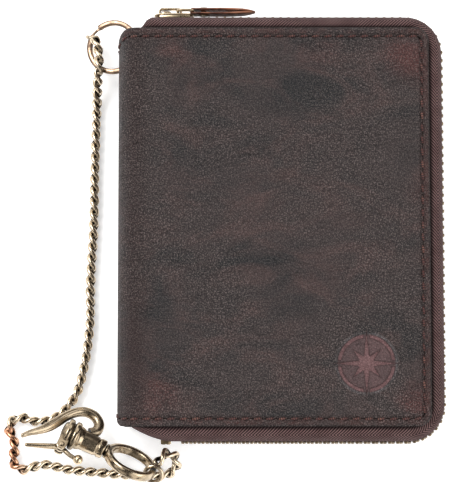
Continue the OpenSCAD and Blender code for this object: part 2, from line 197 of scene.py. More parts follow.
def tube(build, path, outlines, up, loop=False):
    """Sweeps one outline, or an outline for each point, along a path."""
    rows = []
    last = len(path) - 1
    for i, point in enumerate(path):
        before = path[i - 1] if i or loop else point
        after = path[(i + 1) % len(path)] if i < last or loop else point
        way = (after - before).normalized()
        side = way.cross(up).normalized()
        outline = outlines[i] if isinstance(outlines[0], list) else outlines
        rows.append(ring_at(point, side, side.cross(way), outline))
    build.surface(rows, loop=loop)


def round_rod(build, path, radii, up, sides=16):
    """A rod of round section with domed ends, and a radius for each point."""
    start_way = (path[0] - path[1]).normalized()
    end_way = (path[-1] - path[-2]).normalized()
    lead, tail = [], []
    for turn in (0.35, 0.7, 0.93):
        across, along = math.cos(turn * math.pi / 2), math.sin(turn * math.pi / 2)
        lead.insert(0, (path[0] + start_way * radii[0] * along, radii[0] * across))
        tail.append((path[-1] + end_way * radii[-1] * along, radii[-1] * across))
    whole = lead + list(zip(path, radii)) + tail
    tube(build, [p for p, _ in whole], [oval(r, r, sides) for _, r in whole], up)


def lathe(build, profile, sides, smooth=0.15 * MM):
    """Turns a profile of (distance along X, radius) about the X axis, with its corners eased."""
    turns = [TAU * k / sides for k in range(sides)]
    build.surface([[Vector((x, r * math.cos(a), r * math.sin(a))) for a in turns]
                   for x, r in ease_corners(profile, smooth)])


def ease_corners(profile, reach):
    """Cuts each inner corner of a polyline back by reach, with a round of four points."""
    p = [Vector((x, y)) for x, y in profile]
    made = [p[0]]
    for a, b, c in zip(p, p[1:], p[2:]):
        near = b + (a - b).normalized() * min(reach, (a - b).length * 0.45)
        far = b + (c - b).normalized() * min(reach, (c - b).length * 0.45)
        for t in (0, 1 / 3, 2 / 3, 1):
            made.append(near.lerp(b, t).lerp(b.lerp(far, t), t))
    return made + [p[-1]]


def layered(build, centre, axes, layers, sides=20, squareness=5):
    """A block built up along its third axis from layers of (height, half width, half depth)."""
    a, b, c = axes
    build.surface([ring_at(centre + c * h, a, b, oval(w, d, sides, squareness)) for h, w, d in layers])


def discs(build, centre, layers, sides):
    """A round block along UP, from layers of (height, radius)."""
    build.surface([ring_at(centre + UP * h, RIGHT, HEAD, oval(r, r, sides)) for h, r in layers])


def in_mm(rows):
    """Rows of millimetres, as metres."""
    return [tuple(value * MM for value in row) for row in rows]


def smoothstep(x, low, high):
    t = min(max((x - low) / (high - low), 0.0), 1.0)
    return t * t * (3 - 2 * t)


def steps(low, high, count):
    return [low + (high - low) * k / (count - 1) for k in range(count)]


def every(low, high, pitch):
    """Values from low up or down to just before high."""
    return [low + k * pitch for k in range(math.ceil((high - low) / pitch))]


# ---------------------------------------------------------------- materials

def rgb(red, green, blue):
    """Linear colour from 8-bit sRGB values."""
    def linear(c):
        c = c / 255
        return c / 12.92 if c <= 0.04045 else ((c + 0.055) / 1.055) ** 2.4
    return (linear(red), linear(green), linear(blue), 1.0)


class Shader:
    """One material's nodes, with short ways to add what it needs."""

    def __init__(self, name, **constants):
        self.material = bpy.data.materials.new(name)
        self.material.use_nodes = True
        self.tree = self.material.node_tree
        self.surface = self.tree.nodes["Principled BSDF"]
        for key, value in constants.items():
            self.surface.inputs[key.replace("_", " ")].default_value = value

    def node(self, kind, inputs, output=0, **settings):
        made = self.tree.nodes.new("ShaderNode" + kind)
        for key, value in settings.items():
            setattr(made, key, value)
        for key, value in inputs.items():
            self.plug(made.inputs[key], value)
        return made.outputs[output]

    def plug(self, socket, value):
        if isinstance(value, bpy.types.NodeSocket):
            self.tree.links.new(value, socket)
        else:
            socket.default_value = value

    def finish(self, **inputs):
        for key, value in inputs.items():
            self.plug(self.surface.inputs[key.replace("_", " ")], value)
        return self.material

    def uv(self, stretch=(1, 1, 1)):
        place = self.node("UVMap", {}, uv_map="metres")
        return self.node("VectorMath", {0: place, 1: stretch}, operation="MULTIPLY")

    def place(self, stretch=(1, 1, 1)):
        here = self.node("TexCoord", {}, output="Object")
        return self.node("VectorMath", {0: here, 1: stretch}, operation="MULTIPLY")

    def part(self, vector, axis):
        return self.node("SeparateXYZ", {0: vector}, output=axis)

    def value_of(self, name):
        return self.node("Attribute", {}, output="Fac", attribute_name=name)

    def math(self, operation, a, b=0.0):
        return self.node("Math", {0: a, 1: b}, operation=operation)

    def times(self, a, b):
        return self.math("MULTIPLY", a, b)

    def plus(self, a, b):
        return self.math("ADD", a, b)

    def minus(self, a, b):
        return self.math("SUBTRACT", a, b)

    def noise(self, vector, size, detail=3.0, roughness=0.55, distortion=0.0):
        """Smooth noise with features of about that size in metres."""
        inputs = {"Vector": vector, "Scale": 1 / size, "Detail": detail, "Roughness": roughness,
                  "Distortion": distortion}
        return self.node("TexNoise", inputs)

    def cells(self, vector, size, feature="F1"):
        return self.node("TexVoronoi", {"Vector": vector, "Scale": 1 / size}, feature=feature)

    def fade(self, value, low, high, to_low=0.0, to_high=1.0):
        inputs = {0: value, 1: low, 2: high, 3: to_low, 4: to_high}
        return self.node("MapRange", inputs, interpolation_type="SMOOTHSTEP")

    def mix(self, share, a, b, blend="MIX"):
        made = self.tree.nodes.new("ShaderNodeMix")
        made.data_type = "RGBA"
        made.blend_type = blend
        self.plug(made.inputs[0], share)
        self.plug(made.inputs[6], a)
        self.plug(made.inputs[7], b)
        return made.outputs[2]

    def stripes(self, distance, pitch):
        """A wave from 0 to 1 with one crest each pitch."""
        wave = self.math("SINE", self.times(distance, TAU / pitch))
        return self.fade(wave, -1.0, 1.0)

    def bump(self, height, depth, under=None, strength=1.0):
        inputs = {"Height": height, "Distance": depth, "Strength": strength}
        if under:
            inputs["Normal"] = under
        return self.node("Bump", inputs)

    def near(self, vector, point, inner, outer):
        """1 within the inner radius of a point, and 0 beyond the outer one."""
        gap = self.node("VectorMath", {0: vector, 1: point}, output="Value", operation="DISTANCE")
        return self.fade(gap, inner, outer, 1.0, 0.0)

    def crevice(self, reach):
        """0 in the open, and up to 1 in tight corners."""
        seen = self.node("AmbientOcclusion", {"Distance": reach}, output="AO", samples=6)
        return self.fade(seen, 0.35, 0.95, 1.0, 0.0)


# Reddish places on the front cover, where the black has worn thin: X, Y, inner and outer radius, strength
BURNISH = [(40 * MM, 50 * MM, 2 * MM, 11 * MM, 0.85), (42 * MM, -52 * MM, 1 * MM, 9 * MM, 0.8),
           (-34 * MM, -50 * MM, 2 * MM, 9 * MM, 0.7), (-30 * MM, 52 * MM, 1 * MM, 8 * MM, 0.35),
           (14 * MM, 52 * MM, 1 * MM, 9 * MM, 0.3), (44 * MM, 10 * MM, 1 * MM, 8 * MM, 0.35)]
# Painted shade beside the fold on the front cover: where it starts, reaches full strength and ends along X
FOLD_SHADE_SPAN = (-46 * MM, -42 * MM, -34.5 * MM)
DISC_R = 8.5 * MM


def cover_leather():
    s = Shader("cover_leather", IOR=1.42, Specular_IOR_Level=0.3)
    uv = s.uv()
    clouds = s.noise(s.uv((0.8, 1.3, 1.0)), 26 * MM, 4.0, 0.5, 1.2)
    drift = s.noise(s.uv((0.6, 1.0, 1.0)), 17 * MM, 5.0, 0.6, 1.6)
    speck = s.noise(uv, 0.42 * MM, 2.0, 0.7)
    wrinkles = s.cells(s.uv((1.0, 0.85, 1.0)), 0.66 * MM, "DISTANCE_TO_EDGE")
    smooth = s.fade(s.noise(uv, 34 * MM, 2.0, 0.4), 0.35, 0.6, 0.5, 0.95)
    stamp = (front_u(STAR_AT.x), STAR_AT.y, 0)
    in_stamp = s.near(uv, stamp, DISC_R - 0.2 * MM, DISC_R + 0.5 * MM)
    smooth = s.times(smooth, s.minus(1.0, s.times(in_stamp, 0.6)))
    pores = s.noise(uv, 0.3 * MM, 2.0, 0.6)
    colour = s.mix(s.fade(clouds, 0.3, 0.62), rgb(26, 30, 33), rgb(57, 49, 49))
    colour = s.mix(s.fade(drift, 0.44, 0.72, 0.0, 0.8), colour, rgb(78, 59, 57))
    for x, y, inner, outer, share in BURNISH:
        here = s.near(uv, (front_u(x), y, 0), inner, outer)
        patch_share = s.times(here, s.fade(drift, 0.3, 0.62, share * 0.25, share))
        colour = s.mix(patch_share, colour, rgb(84, 45, 43))
    # Painted shade: a dark reddish band on the front cover beside the fold
    starts, full, ends = (front_u(x) for x in FOLD_SHADE_SPAN)
    fold_shade = s.times(s.fade(s.part(uv, "X"), starts, full), s.fade(s.part(uv, "X"), full, ends, 1.0, 0.0))
    colour = s.mix(s.times(fold_shade, 0.8), colour, rgb(42, 25, 25))
    border = s.fade(s.value_of("edge_gap"), 1.4 * MM, 3.6 * MM, 1.0, 0.0)
    rubbed = s.times(border, s.fade(s.noise(uv, 7 * MM, 4.0, 0.7), 0.38, 0.62, 0.15, 0.8))
    colour = s.mix(rubbed, colour, rgb(70, 40, 37))
    # Painted shade along the stitch groove
    sewn = s.times(s.fade(s.value_of("edge_gap"), 1.6 * MM, 2.1 * MM),
                  s.fade(s.value_of("edge_gap"), 2.6 * MM, 3.2 * MM, 1.0, 0.0))
    colour = s.mix(s.times(sewn, 0.55), colour, rgb(22, 14, 14))
    # Dark rim at the cut edge: partly real edge paint, partly painted shadow of the gap towards the tape
    rim = s.fade(s.value_of("edge_gap"), 0.0, 0.8 * MM, 0.85, 0.0)
    colour = s.mix(rim, colour, rgb(24, 18, 17))
    pressed = s.value_of("emboss")
    disc = s.near(uv, stamp, DISC_R - 0.3 * MM, DISC_R)
    # Painted highlight: a pale ring just outside the pressed disc
    halo_highlight = s.near(uv, stamp, DISC_R + 0.2 * MM, DISC_R + 1.1 * MM)
    halo_highlight = s.times(s.minus(halo_highlight, disc), s.fade(drift, 0.4, 0.6, 0.1, 0.6))
    colour = s.mix(halo_highlight, colour, rgb(112, 110, 112))
    colour = s.mix(s.times(disc, s.fade(drift, 0.35, 0.65, 0.5, 0.85)), colour, rgb(100, 76, 77))
    tinted = s.times(pressed, s.fade(speck, 0.3, 0.7, 0.45, 0.85))
    colour = s.mix(tinted, colour, rgb(130, 94, 95))
    # Painted shade on the sloping walls of the pressed star and its ring
    stamp_wall_shade = s.times(s.times(pressed, s.minus(1.0, pressed)), 2.2)
    colour = s.mix(stamp_wall_shade, colour, rgb(26, 20, 21))
    # Painted highlights on the grain: a fine pale speckle
    grain_highlight = s.times(s.fade(speck, 0.45, 0.6), smooth)
    colour = s.mix(grain_highlight, colour, s.mix(0.36, colour, rgb(156, 142, 138)))
    # Painted shade in the grain's creases
    grain_crease_shade = s.times(s.fade(wrinkles, 0.0, 0.2, 0.7, 0.0), smooth)
    colour = s.mix(grain_crease_shade, colour, rgb(12, 10, 11))
    grain = s.bump(s.fade(wrinkles, 0.0, 0.2), 0.16 * MM)
    grain = s.bump(s.noise(uv, 0.7 * MM, 4.0, 0.75, 0.4), 0.5 * MM, grain)
    grain = s.bump(pores, 0.05 * MM, grain)
    creases = s.noise(s.uv((0.45, 1.0, 1.0)), 10 * MM, 4.0, 0.5, 1.6)
    grain = s.bump(creases, 2.4 * MM, grain)
    rough = s.plus(s.fade(clouds, 0.3, 0.7, 0.46, 0.6), s.times(rim, 0.35))
    return s.finish(Base_Color=colour, Roughness=rough, Normal=grain)


def thread():
    s = Shader("stitch_thread", Roughness=0.5)
    uv = s.uv()
    lay = s.plus(s.part(uv, "X"), s.times(s.part(uv, "Y"), 0.7))
    # The ply stripes paint highlight and shade along the thread's twist
    ply = s.stripes(lay, 0.6 * MM)
    colour = s.mix(ply, rgb(30, 12, 11), rgb(90, 48, 43))
    # In random patches the painted highlights on the plies turn lighter still
    patch_share = s.fade(s.noise(s.place(), 5 * MM, 3.0, 0.6), 0.52, 0.66, 0.0, 0.8)
    colour = s.mix(s.times(patch_share, ply), colour, rgb(122, 82, 70))
    return s.finish(Base_Color=colour, Normal=s.bump(ply, 0.14 * MM))


def zip_cloth():
    s = Shader("zip_tape_cloth", Roughness=0.9, Specular_IOR_Level=0.15)
    uv = s.uv()
    along, across = s.part(uv, "X"), s.part(uv, "Y")
    from_v = s.math("ABSOLUTE", s.minus(across, TAPE_V_AT))
    rib = s.stripes(s.plus(along, from_v), 0.95 * MM)
    columns = s.fade(from_v, 2.6 * MM, 2.8 * MM, 1.0, 0.0)
    plain = s.stripes(s.minus(along, across), 0.9 * MM)
    threads = s.stripes(s.minus(along, from_v), 0.3 * MM)
    ribs = s.plus(s.times(rib, columns),
                  s.times(plain, s.minus(1.0, columns)))
    # The weave's ribs and threads are painted as highlight and shade in the cloth's colour
    light = s.times(ribs, s.fade(threads, 0.0, 1.0, 0.65, 1.0))
    colour = s.mix(light, rgb(24, 13, 14), rgb(138, 108, 106))
    colour = s.mix(s.fade(s.noise(uv, 5 * MM, 3.0), 0.35, 0.7, 0.0, 0.4), colour, rgb(50, 28, 28))
    # Painted shadow of the cover's edge on the tape, just beyond the flange
    cover_shadow = s.fade(across, TAPE_FLANGE + 0.2 * MM, TAPE_FLANGE + 1.3 * MM, 0.85, 0.0)
    colour = s.mix(cover_shadow, colour, rgb(18, 10, 10))
    weave = s.bump(threads, 0.06 * MM, s.bump(ribs, 0.3 * MM))
    return s.finish(Base_Color=colour, Normal=weave)


def metal(name, bright, dark, shine, tarnish, crevice_reach=0.8 * MM, grain=1.6 * MM):
    """Cast metal that is bright where it is rubbed and dark in its corners."""
    s = Shader(name, Metallic=1.0)
    here = s.place()
    blotch = s.noise(here, 4 * MM, 4.0, 0.6)
    fine = s.noise(here, grain * 0.25, 3.0, 0.65)
    aged = s.times(s.fade(blotch, 0.35, 0.75), tarnish)
    dirt = s.math("MAXIMUM", aged, s.crevice(crevice_reach))
    colour = s.mix(dirt, bright, dark)
    rough = s.plus(s.times(dirt, 0.25), s.fade(fine, 0.3, 0.7, shine - 0.05, shine + 0.08))
    return s.finish(Base_Color=colour, Roughness=rough, Normal=s.bump(fine, 0.008 * MM))


def chain_brass():
    """Antique brass, black inside the links, that turns coppery where the chain doubles back."""
    s = Shader("chain_brass", Metallic=1.0)
    here = s.place()
    blotch = s.noise(here, 2.5 * MM, 3.0, 0.6)
    copper = s.times(s.fade(s.part(here, "X"), -79 * MM, -72 * MM, 1.0, 0.0),
                    s.fade(s.part(here, "Y"), -60 * MM, -57 * MM, 1.0, 0.0))
    bright = s.mix(copper, rgb(224, 206, 180), rgb(214, 158, 124))
    half_round = math.pi * LINK_WIRE / 2
    from_outside = s.math("ABSOLUTE", s.minus(s.part(s.uv(), "Y"), half_round))
    inside = s.fade(from_outside, 0.3 * half_round, 0.75 * half_round)
    aged = s.fade(blotch, 0.5, 0.8, 0.0, 0.5)
    dirt = s.math("MAXIMUM", aged, s.math("MAXIMUM", inside, s.crevice(1.5 * MM)))
    colour = s.mix(dirt, bright, rgb(16, 12, 10))
    rough = s.fade(dirt, 0.0, 1.0, 0.22, 0.55)
    return s.finish(Base_Color=colour, Roughness=rough, Normal=s.bump(blotch, 0.03 * MM))


def pull_leather():
    s = Shader("pull_leather", IOR=1.45, Specular_IOR_Level=0.4, Roughness=0.55)
    here = s.place()
    tone = s.noise(here, 3.5 * MM, 4.0, 0.6)
    colour = s.mix(s.fade(tone, 0.35, 0.65), rgb(84, 46, 34), rgb(156, 104, 78))
    cut = s.fade(s.value_of("cut_edge"), 0.0, 1.0, 0.0, 0.6)
    colour = s.mix(cut, colour, rgb(142, 92, 64))
    grain = s.bump(s.noise(here, 0.5 * MM, 3.0, 0.6), 0.1 * MM)
    return s.finish(Base_Color=colour, Normal=grain)


def inner_leather():
    s = Shader("pocket_leather", IOR=1.45, Specular_IOR_Level=0.38)
    here = s.place()
    tone = s.noise(here, 18 * MM, 4.0, 0.55, 0.5)
    folds = s.cells(here, 1.0 * MM, "DISTANCE_TO_EDGE")
    colour = s.mix(s.fade(tone, 0.3, 0.7), rgb(60, 43, 38), rgb(80, 58, 50))
    # Painted shade in the grain's creases
    colour = s.mix(s.fade(folds, 0.0, 0.14, 0.5, 0.0), colour, rgb(34, 22, 19))
    # Painted shade in tight corners and between the pockets
    colour = s.mix(s.crevice(2 * MM), colour, rgb(22, 14, 12))
    grain = s.bump(s.fade(folds, 0.0, 0.2), 0.05 * MM)
    grain = s.bump(s.noise(here, 0.5 * MM, 3.0, 0.6), 0.08 * MM, grain)
    return s.finish(Base_Color=colour, Roughness=s.fade(tone, 0.3, 0.7, 0.5, 0.65), Normal=grain)


def lining_cloth():
    s = Shader("lining_cloth", Roughness=0.8, Sheen_Weight=0.3)
    here = s.place()
    warp = s.stripes(s.part(here, "X"), 0.5 * MM)
    weft = s.stripes(s.part(here, "Y"), 0.5 * MM)
    weave = s.times(warp, weft)
    shade = s.fade(s.noise(here, 12 * MM), 0.3, 0.7, 0.0, 0.4)
    colour = s.mix(weave, rgb(30, 25, 24), rgb(58, 50, 47))
    return s.finish(Base_Color=s.mix(shade, colour, rgb(44, 36, 33)), Normal=s.bump(weave, 0.08 * MM))


def fibre_board():
    s = Shader("fibre_board", Roughness=0.9)
    fibres = s.noise(s.place((1.0, 0.2, 1.0)), 1.2 * MM, 5.0, 0.7)
    colour = s.mix(fibres, rgb(98, 86, 72), rgb(150, 134, 112))
    return s.finish(Base_Color=colour, Normal=s.bump(fibres, 0.1 * MM))


def inner_thread():
    s = Shader("pocket_thread", Roughness=0.6)
    uv = s.uv()
    ply = s.stripes(s.plus(s.part(uv, "X"), s.times(s.part(uv, "Y"), 0.6)), 0.45 * MM)
    # The ply stripes paint highlight and shade along the thread's twist
    return s.finish(Base_Color=s.mix(ply, rgb(52, 34, 26), rgb(132, 98, 72)), Normal=s.bump(ply, 0.1 * MM))


# Painted shade: the dark discs that stand in for the shadowed needle holes
def needle_hole_shade():
    s = Shader("needle_hole", Roughness=0.95, Specular_IOR_Level=0.1)
    return s.finish(Base_Color=s.mix(s.noise(s.place(), 0.3 * MM), rgb(10, 7, 6), rgb(26, 16, 14)))


# ---------------------------------------------------------------- leather shell

SECTION = [("back", HALF_W * 2 - BEND_R), ("bend", BEND_R * math.pi / 2), ("wall", WALL_TOP - BEND_R),
           ("fold", FOLD_R * math.pi / 2), ("front", HALF_W * 2 - FOLD_R)]
FRONT_FROM = sum(size for _, size in SECTION[:4])
SHELL_U = FRONT_FROM + SECTION[4][1]


def front_u(x):
    """Distance round the shell of a place on the front cover."""
    return FRONT_FROM + x + HALF_W - FOLD_R


def section_at(u):
    """The shell's outer face at a distance round it, as X and Z, with the way out."""
    for name, size in SECTION:
        if u <= size or name == "front":
            break
        u -= size
    if name == "back":
        return HALF_W - u, 0.0, 0.0, -1.0
    if name == "wall":
        return -HALF_W, BEND_R + u, -1.0, 0.0
    if name == "front":
        return FOLD_R - HALF_W + u, THICK, 0.0, 1.0
    if name == "bend":
        a = u / BEND_R
        return BEND_R * (1 - math.sin(a)) - HALF_W, BEND_R * (1 - math.cos(a)), -math.sin(a), -math.cos(a)
    a = u / FOLD_R
    return FOLD_R * (1 - math.cos(a)) - HALF_W, WALL_TOP + FOLD_R * math.sin(a), -math.cos(a), math.sin(a)


def reach_y(x, side):
    """How far the leather reaches along Y at x. side is 1 at the head and -1 at the foot."""
    left_r = HEAD_CORNER_R if side > 0 else FOOT_CORNER_R
    drop = 0.0
    if x > HALF_W - CORNER_R:
        drop = CORNER_R - math.sqrt(max(CORNER_R ** 2 - (x - HALF_W + CORNER_R) ** 2, 0.0))
    if x < left_r - HALF_W:
        drop = left_r - math.sqrt(max(left_r ** 2 - (x + HALF_W - left_r) ** 2, 0.0))
    return HALF_H - drop


def edge_gap(x, y, inset_right=0.0, inset_head=0.0, inset_foot=0.0):
    """Distance inwards from the cut edge, or from a line inset from it."""
    side = 1 if y > 0 else -1
    inset = inset_head if side > 0 else inset_foot
    r = max(CORNER_R - inset_right, 1.5 * MM)
    right, end = HALF_W - inset_right, HALF_H - inset
    if x > right - r and abs(y) > end - r:
        return r - math.hypot(x - right + r, abs(y) - end + r)
    return min(right - x, reach_y(min(x, 0), side) - inset - abs(y))


STITCH_RIGHT = 2.2 * MM
STITCH_FOOT = 2.2 * MM
STITCH_HEAD = 2.7 * MM
STITCH_PITCH = 3.6 * MM


def compass_outline():
    """A plain eight-pointed star, as a closed outline about its own centre."""
    radii = [10.4 * MM, 2.5 * MM, 6.2 * MM, 2.5 * MM]
    turns = [(radii[k % 4], TAU * k / 16) for k in range(16)]
    return [Vector((r * math.sin(a), r * math.cos(a))) for r, a in turns]


STAR = compass_outline()
STAR_AT = Vector((27 * MM, -40.6 * MM))
STAR_REACH = 12 * MM
HOOP_R = 7.9 * MM


def star_depth(x, y):
    """0 outside the pressed star, rising to 1 inside it, with a thin ring round its middle."""
    p = Vector((x, y)) - STAR_AT
    if p.length > STAR_REACH:
        return 0.0
    inside, gap = False, 1.0
    for a, b in zip(STAR, STAR[1:] + STAR[:1]):
        t = max(0.0, min(1.0, (p - a).dot(b - a) / (b - a).length_squared))
        gap = min(gap, (p - a.lerp(b, t)).length)
        if (a.y > p.y) != (b.y > p.y) and p.x < a.x + (p.y - a.y) * (b.x - a.x) / (b.y - a.y):
            inside = not inside
    deep = smoothstep(gap if inside else -gap, -0.12 * MM, 0.3 * MM)
    hoop = 1 - smoothstep(abs(p.length - HOOP_R), 0.4 * MM, 0.75 * MM)
    rim = 1 - smoothstep(gap, 0.35 * MM, 0.7 * MM)
    return float(max(deep, hoop * (0 if inside else 1 - rim)))


def swell(u, x, y, on_front):
    """How far the leather stands proud of its plain face.

    It has a rounded rim, a groove for the stitches, padding, waves and the pressed star.
    """
    gap = edge_gap(x, y)
    rim = 0.75 * MM
    rolled = -0.6 * MM * (1 - math.sqrt(max(1 - (1 - gap / rim) ** 2, 0.0))) if gap < rim else 0.0
    line = edge_gap(x, y, STITCH_RIGHT, STITCH_HEAD, STITCH_FOOT)
    groove = -0.3 * MM * math.exp(-(line / (0.55 * MM)) ** 2)
    welt = 0.12 * MM * math.exp(-((gap - 1.2 * MM) / (0.6 * MM)) ** 2)
    if not on_front:
        return rolled + groove + welt
    fill = 0.35 * MM * smoothstep(line, 0.2 * MM, 9 * MM) * smoothstep(u - FRONT_FROM, 0.0, 12 * MM)
    bent = math.sin(x / (13 * MM) + 1.7 * math.sin(y / (21 * MM)))
    wave = 0.16 * MM * bent * math.sin(y / (17 * MM) + 0.6)
    bent = math.sin(x / (4.6 * MM) + 2.1 * math.sin(y / (7 * MM)))
    fine = 0.07 * MM * bent * math.sin(y / (8.3 * MM))
    press = -0.45 * MM * star_depth(x, y)
    return rolled + groove + welt + fill + (wave + fine) * smoothstep(line, 0.5 * MM, 7 * MM) + press


def shell_point(u, y, lift=0.0):
    """A point of the shell's outer face, or lifted off it."""
    x, z, out_x, out_z = section_at(u)
    proud = swell(u, x, y, u > FRONT_FROM - 5 * MM) + lift
    return Vector((x + out_x * proud, y, z + out_z * proud))


def spread_between(low, high, coarse, dense):
    """Stations from low to high, with the dense spacing inside the dense stretches."""
    made = [low]
    while made[-1] < high - 1e-6:
        here = made[-1]
        fine = [step for a, b, step in dense if a - 1e-6 <= here < b]
        made.append(here + (min(fine) if fine else coarse))
    made[-1] = high
    return made


def near_ends(low, high, high_groove):
    """Dense stretches at both ends of a cut sheet, for its rounded rim and its stitch groove."""
    rim, groove = 0.8 * MM, 4.2 * MM
    return [(low, low + rim, 0.12 * MM), (low, low + groove, 0.35 * MM),
            (high - high_groove, high, 0.35 * MM), (high - rim, high, 0.12 * MM)]


def shell_y(level, reach):
    """Y for a level of the plain sheet, drawn in near the ends where the corners are rounded."""
    zone = 8 * MM
    if abs(level) < HALF_H - zone:
        return level * reach / HALF_H
    zone_from = (HALF_H - zone) * reach / HALF_H
    share = (abs(level) - HALF_H + zone) / zone
    return (1 if level > 0 else -1) * (zone_from + share * (reach - zone_from))


def leather_shell():
    star_r = 10.8 * MM
    dense_u = near_ends(0, SHELL_U, 4.2 * MM)
    dense_u += [(SECTION[0][1] - 2 * MM, FRONT_FROM + 3 * MM, 0.7 * MM),
                (front_u(STAR_AT.x - star_r), front_u(STAR_AT.x + star_r), 0.22 * MM)]
    us = spread_between(0.0, SHELL_U, 1.4 * MM, dense_u)
    dense_y = near_ends(-HALF_H, HALF_H, 4.5 * MM)
    dense_y.append((STAR_AT.y - star_r, STAR_AT.y + star_r, 0.22 * MM))
    ys = spread_between(-HALF_H, HALF_H, 1.4 * MM, dense_y)
    build = Build()
    outer, inner, gaps, pressed = [], [], [], []
    for u in us:
        x, z, out_x, out_z = section_at(u)
        outer_row, inner_row = [], []
        for level in ys:
            y = shell_y(level, reach_y(x, 1 if level > 0 else -1))
            outer_row.append(shell_point(u, y))
            tuck = 0.25 * MM * (1 - smoothstep(edge_gap(x, y), 0.0, 0.5 * MM))
            depth = LEATHER_T - tuck
            inner_row.append(Vector((x - out_x * depth, y, z - out_z * depth)))
            gaps.append(edge_gap(x, y))
            pressed.append(star_depth(x, y) if u > FRONT_FROM else 0.0)
        outer.append(outer_row)
        inner.append(inner_row)
    build.surface(outer, wrap=False, us=us, vs=ys)
    build.surface([row[::-1] for row in inner], wrap=False, us=us, vs=ys[::-1])
    for end in (0, -1):
        build.surface([[a[end] for a in outer], [a[end] for a in inner]][::-1 if end else 1], wrap=False)
    for end in (0, -1):
        build.surface([outer[end], inner[end]][::1 if end else -1], wrap=False)
    shell = build.make("leather_shell", cover_leather(), sharp=70)
    plain = len(build.points) - len(gaps)
    for name, values in (("edge_gap", gaps), ("emboss", pressed)):
        layer = shell.data.attributes.new(name, "FLOAT", "POINT")
        layer.data.foreach_set("value", np.array(list(values) + [0.0] * plain, np.float32))
    return shell


def bend_over_fold(piece):
    """Bakes a piece's placement into its mesh."""
    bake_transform(piece)


def stitch_line():
    """The seam's route round the whole shell, as distance round it and Y."""
    right, r = STITCH_RIGHT, 2.2 * MM
    foot, head = -HALF_H + STITCH_FOOT, HALF_H - STITCH_HEAD
    far = SHELL_U - right - r
    turns = [math.pi / 2 * k / 6 for k in range(1, 6)]
    us = spread_between(right + r, far, 1.5 * MM, [])
    line = [Vector((u, -reach_y(section_at(u)[0], -1) + STITCH_FOOT)) for u in us]
    line += [Vector((far + r * math.sin(a), foot + r * (1 - math.cos(a)))) for a in turns]
    line += [Vector((SHELL_U - right, y)) for y in every(-HALF_H + 6 * MM, HALF_H - 6 * MM, 2 * MM)]
    line += [Vector((far + r * math.cos(a), head - r * (1 - math.sin(a)))) for a in turns]
    line += [Vector((u, reach_y(section_at(u)[0], 1) - STITCH_HEAD)) for u in us[::-1]]
    line += [Vector((right + r - r * math.sin(a), head - r * (1 - math.cos(a)))) for a in turns]
    line += [Vector((right, y)) for y in every(HALF_H - 6 * MM, -HALF_H + 6 * MM, -2 * MM)]
    return Line(line, closed=True)


def stitching():
    """The seam's stitches and, between each two, a dark disc of painted shade for the needle hole, left out
    around the eyelet.
    """
    line = stitch_line()
    count = round(line.length / STITCH_PITCH)
    pitch = line.length / count
    build, holes = Build(), Build()
    eyelet_low, eyelet_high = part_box("eyelet")
    clear_of = (eyelet_low + eyelet_high) / 2
    lean, eyelet_gap, hole_lift = 0.14 * MM, 3.8 * MM, 0.03 * MM
    for k in range(count):
        path, radii = [], []
        way = line.way((k + 0.5) * pitch)
        for t in steps(0, 1, 9):
            flat = line.at((k + 0.2 + 0.6 * t) * pitch)
            aside = Vector((-way.y, way.x)) * lean * (2 * t - 1)
            lift = -0.26 * MM + 0.62 * MM * math.sin(math.pi * t) ** 0.55
            path.append(shell_point(flat.x + aside.x, flat.y + aside.y, lift))
            radii.append((0.2 + 0.17 * math.sin(math.pi * t)) * MM)
        if (path[4] - clear_of).length < eyelet_gap:
            continue
        out_x, out_z = section_at(line.at((k + 0.5) * pitch).x)[2:]
        out = Vector((out_x, 0, out_z))
        round_rod(build, path, radii, out, sides=8)
        # A dark disc of painted shade over each needle hole
        hole, way = line.at(k * pitch), line.way(k * pitch)
        centre = shell_point(hole.x, hole.y, hole_lift)
        along = (shell_point(hole.x + way.x * MM, hole.y + way.y * MM, hole_lift) - centre).normalized()
        outline = oval(0.85 * MM, 0.42 * MM, 12)
        floor_and_top = (centre - out * 0.3 * MM, centre)
        holes.surface([ring_at(spot, along, along.cross(out), outline) for spot in floor_and_top])
    return build.make("cover_stitching", thread()), holes.make("needle_holes", needle_hole_shade())


# ---------------------------------------------------------------- zip

TAPE_T = 0.7 * MM
TAPE_FLANGE = 3.5 * MM
BULGE = TAPE_HIGH.x - TAPE_T / 2 - HALF_W
STRAIGHT_FROM = MID_Z - 4.4 * MM
FLANGE_Z = LEATHER_T + TAPE_T / 2
TAPE_EDGE = TAPE_HIGH.z
TAPE_V_AT = TAPE_FLANGE + 2.6 * MM
TOOTH_PITCH = 2.4 * MM
TEETH_LEFT = -31 * MM
TAPE_FOOT = -41.5 * MM
ZIP_CORNER_R = 10.5 * MM


def tape_profile():
    """The tape's middle line as (reach beyond the cover's edge, height), from the flange to the teeth."""
    rise = STRAIGHT_FROM - FLANGE_Z
    line = [(-TAPE_FLANGE, FLANGE_Z), (-TAPE_FLANGE / 2, FLANGE_Z), (-0.6 * MM, FLANGE_Z)]
    line += [(BULGE * math.sin(a), STRAIGHT_FROM - rise * math.cos(a)) for a in steps(0, math.pi / 2, 13)]
    line += [(BULGE, h) for h in steps(STRAIGHT_FROM, TAPE_EDGE, 5)[1:]]
    return line


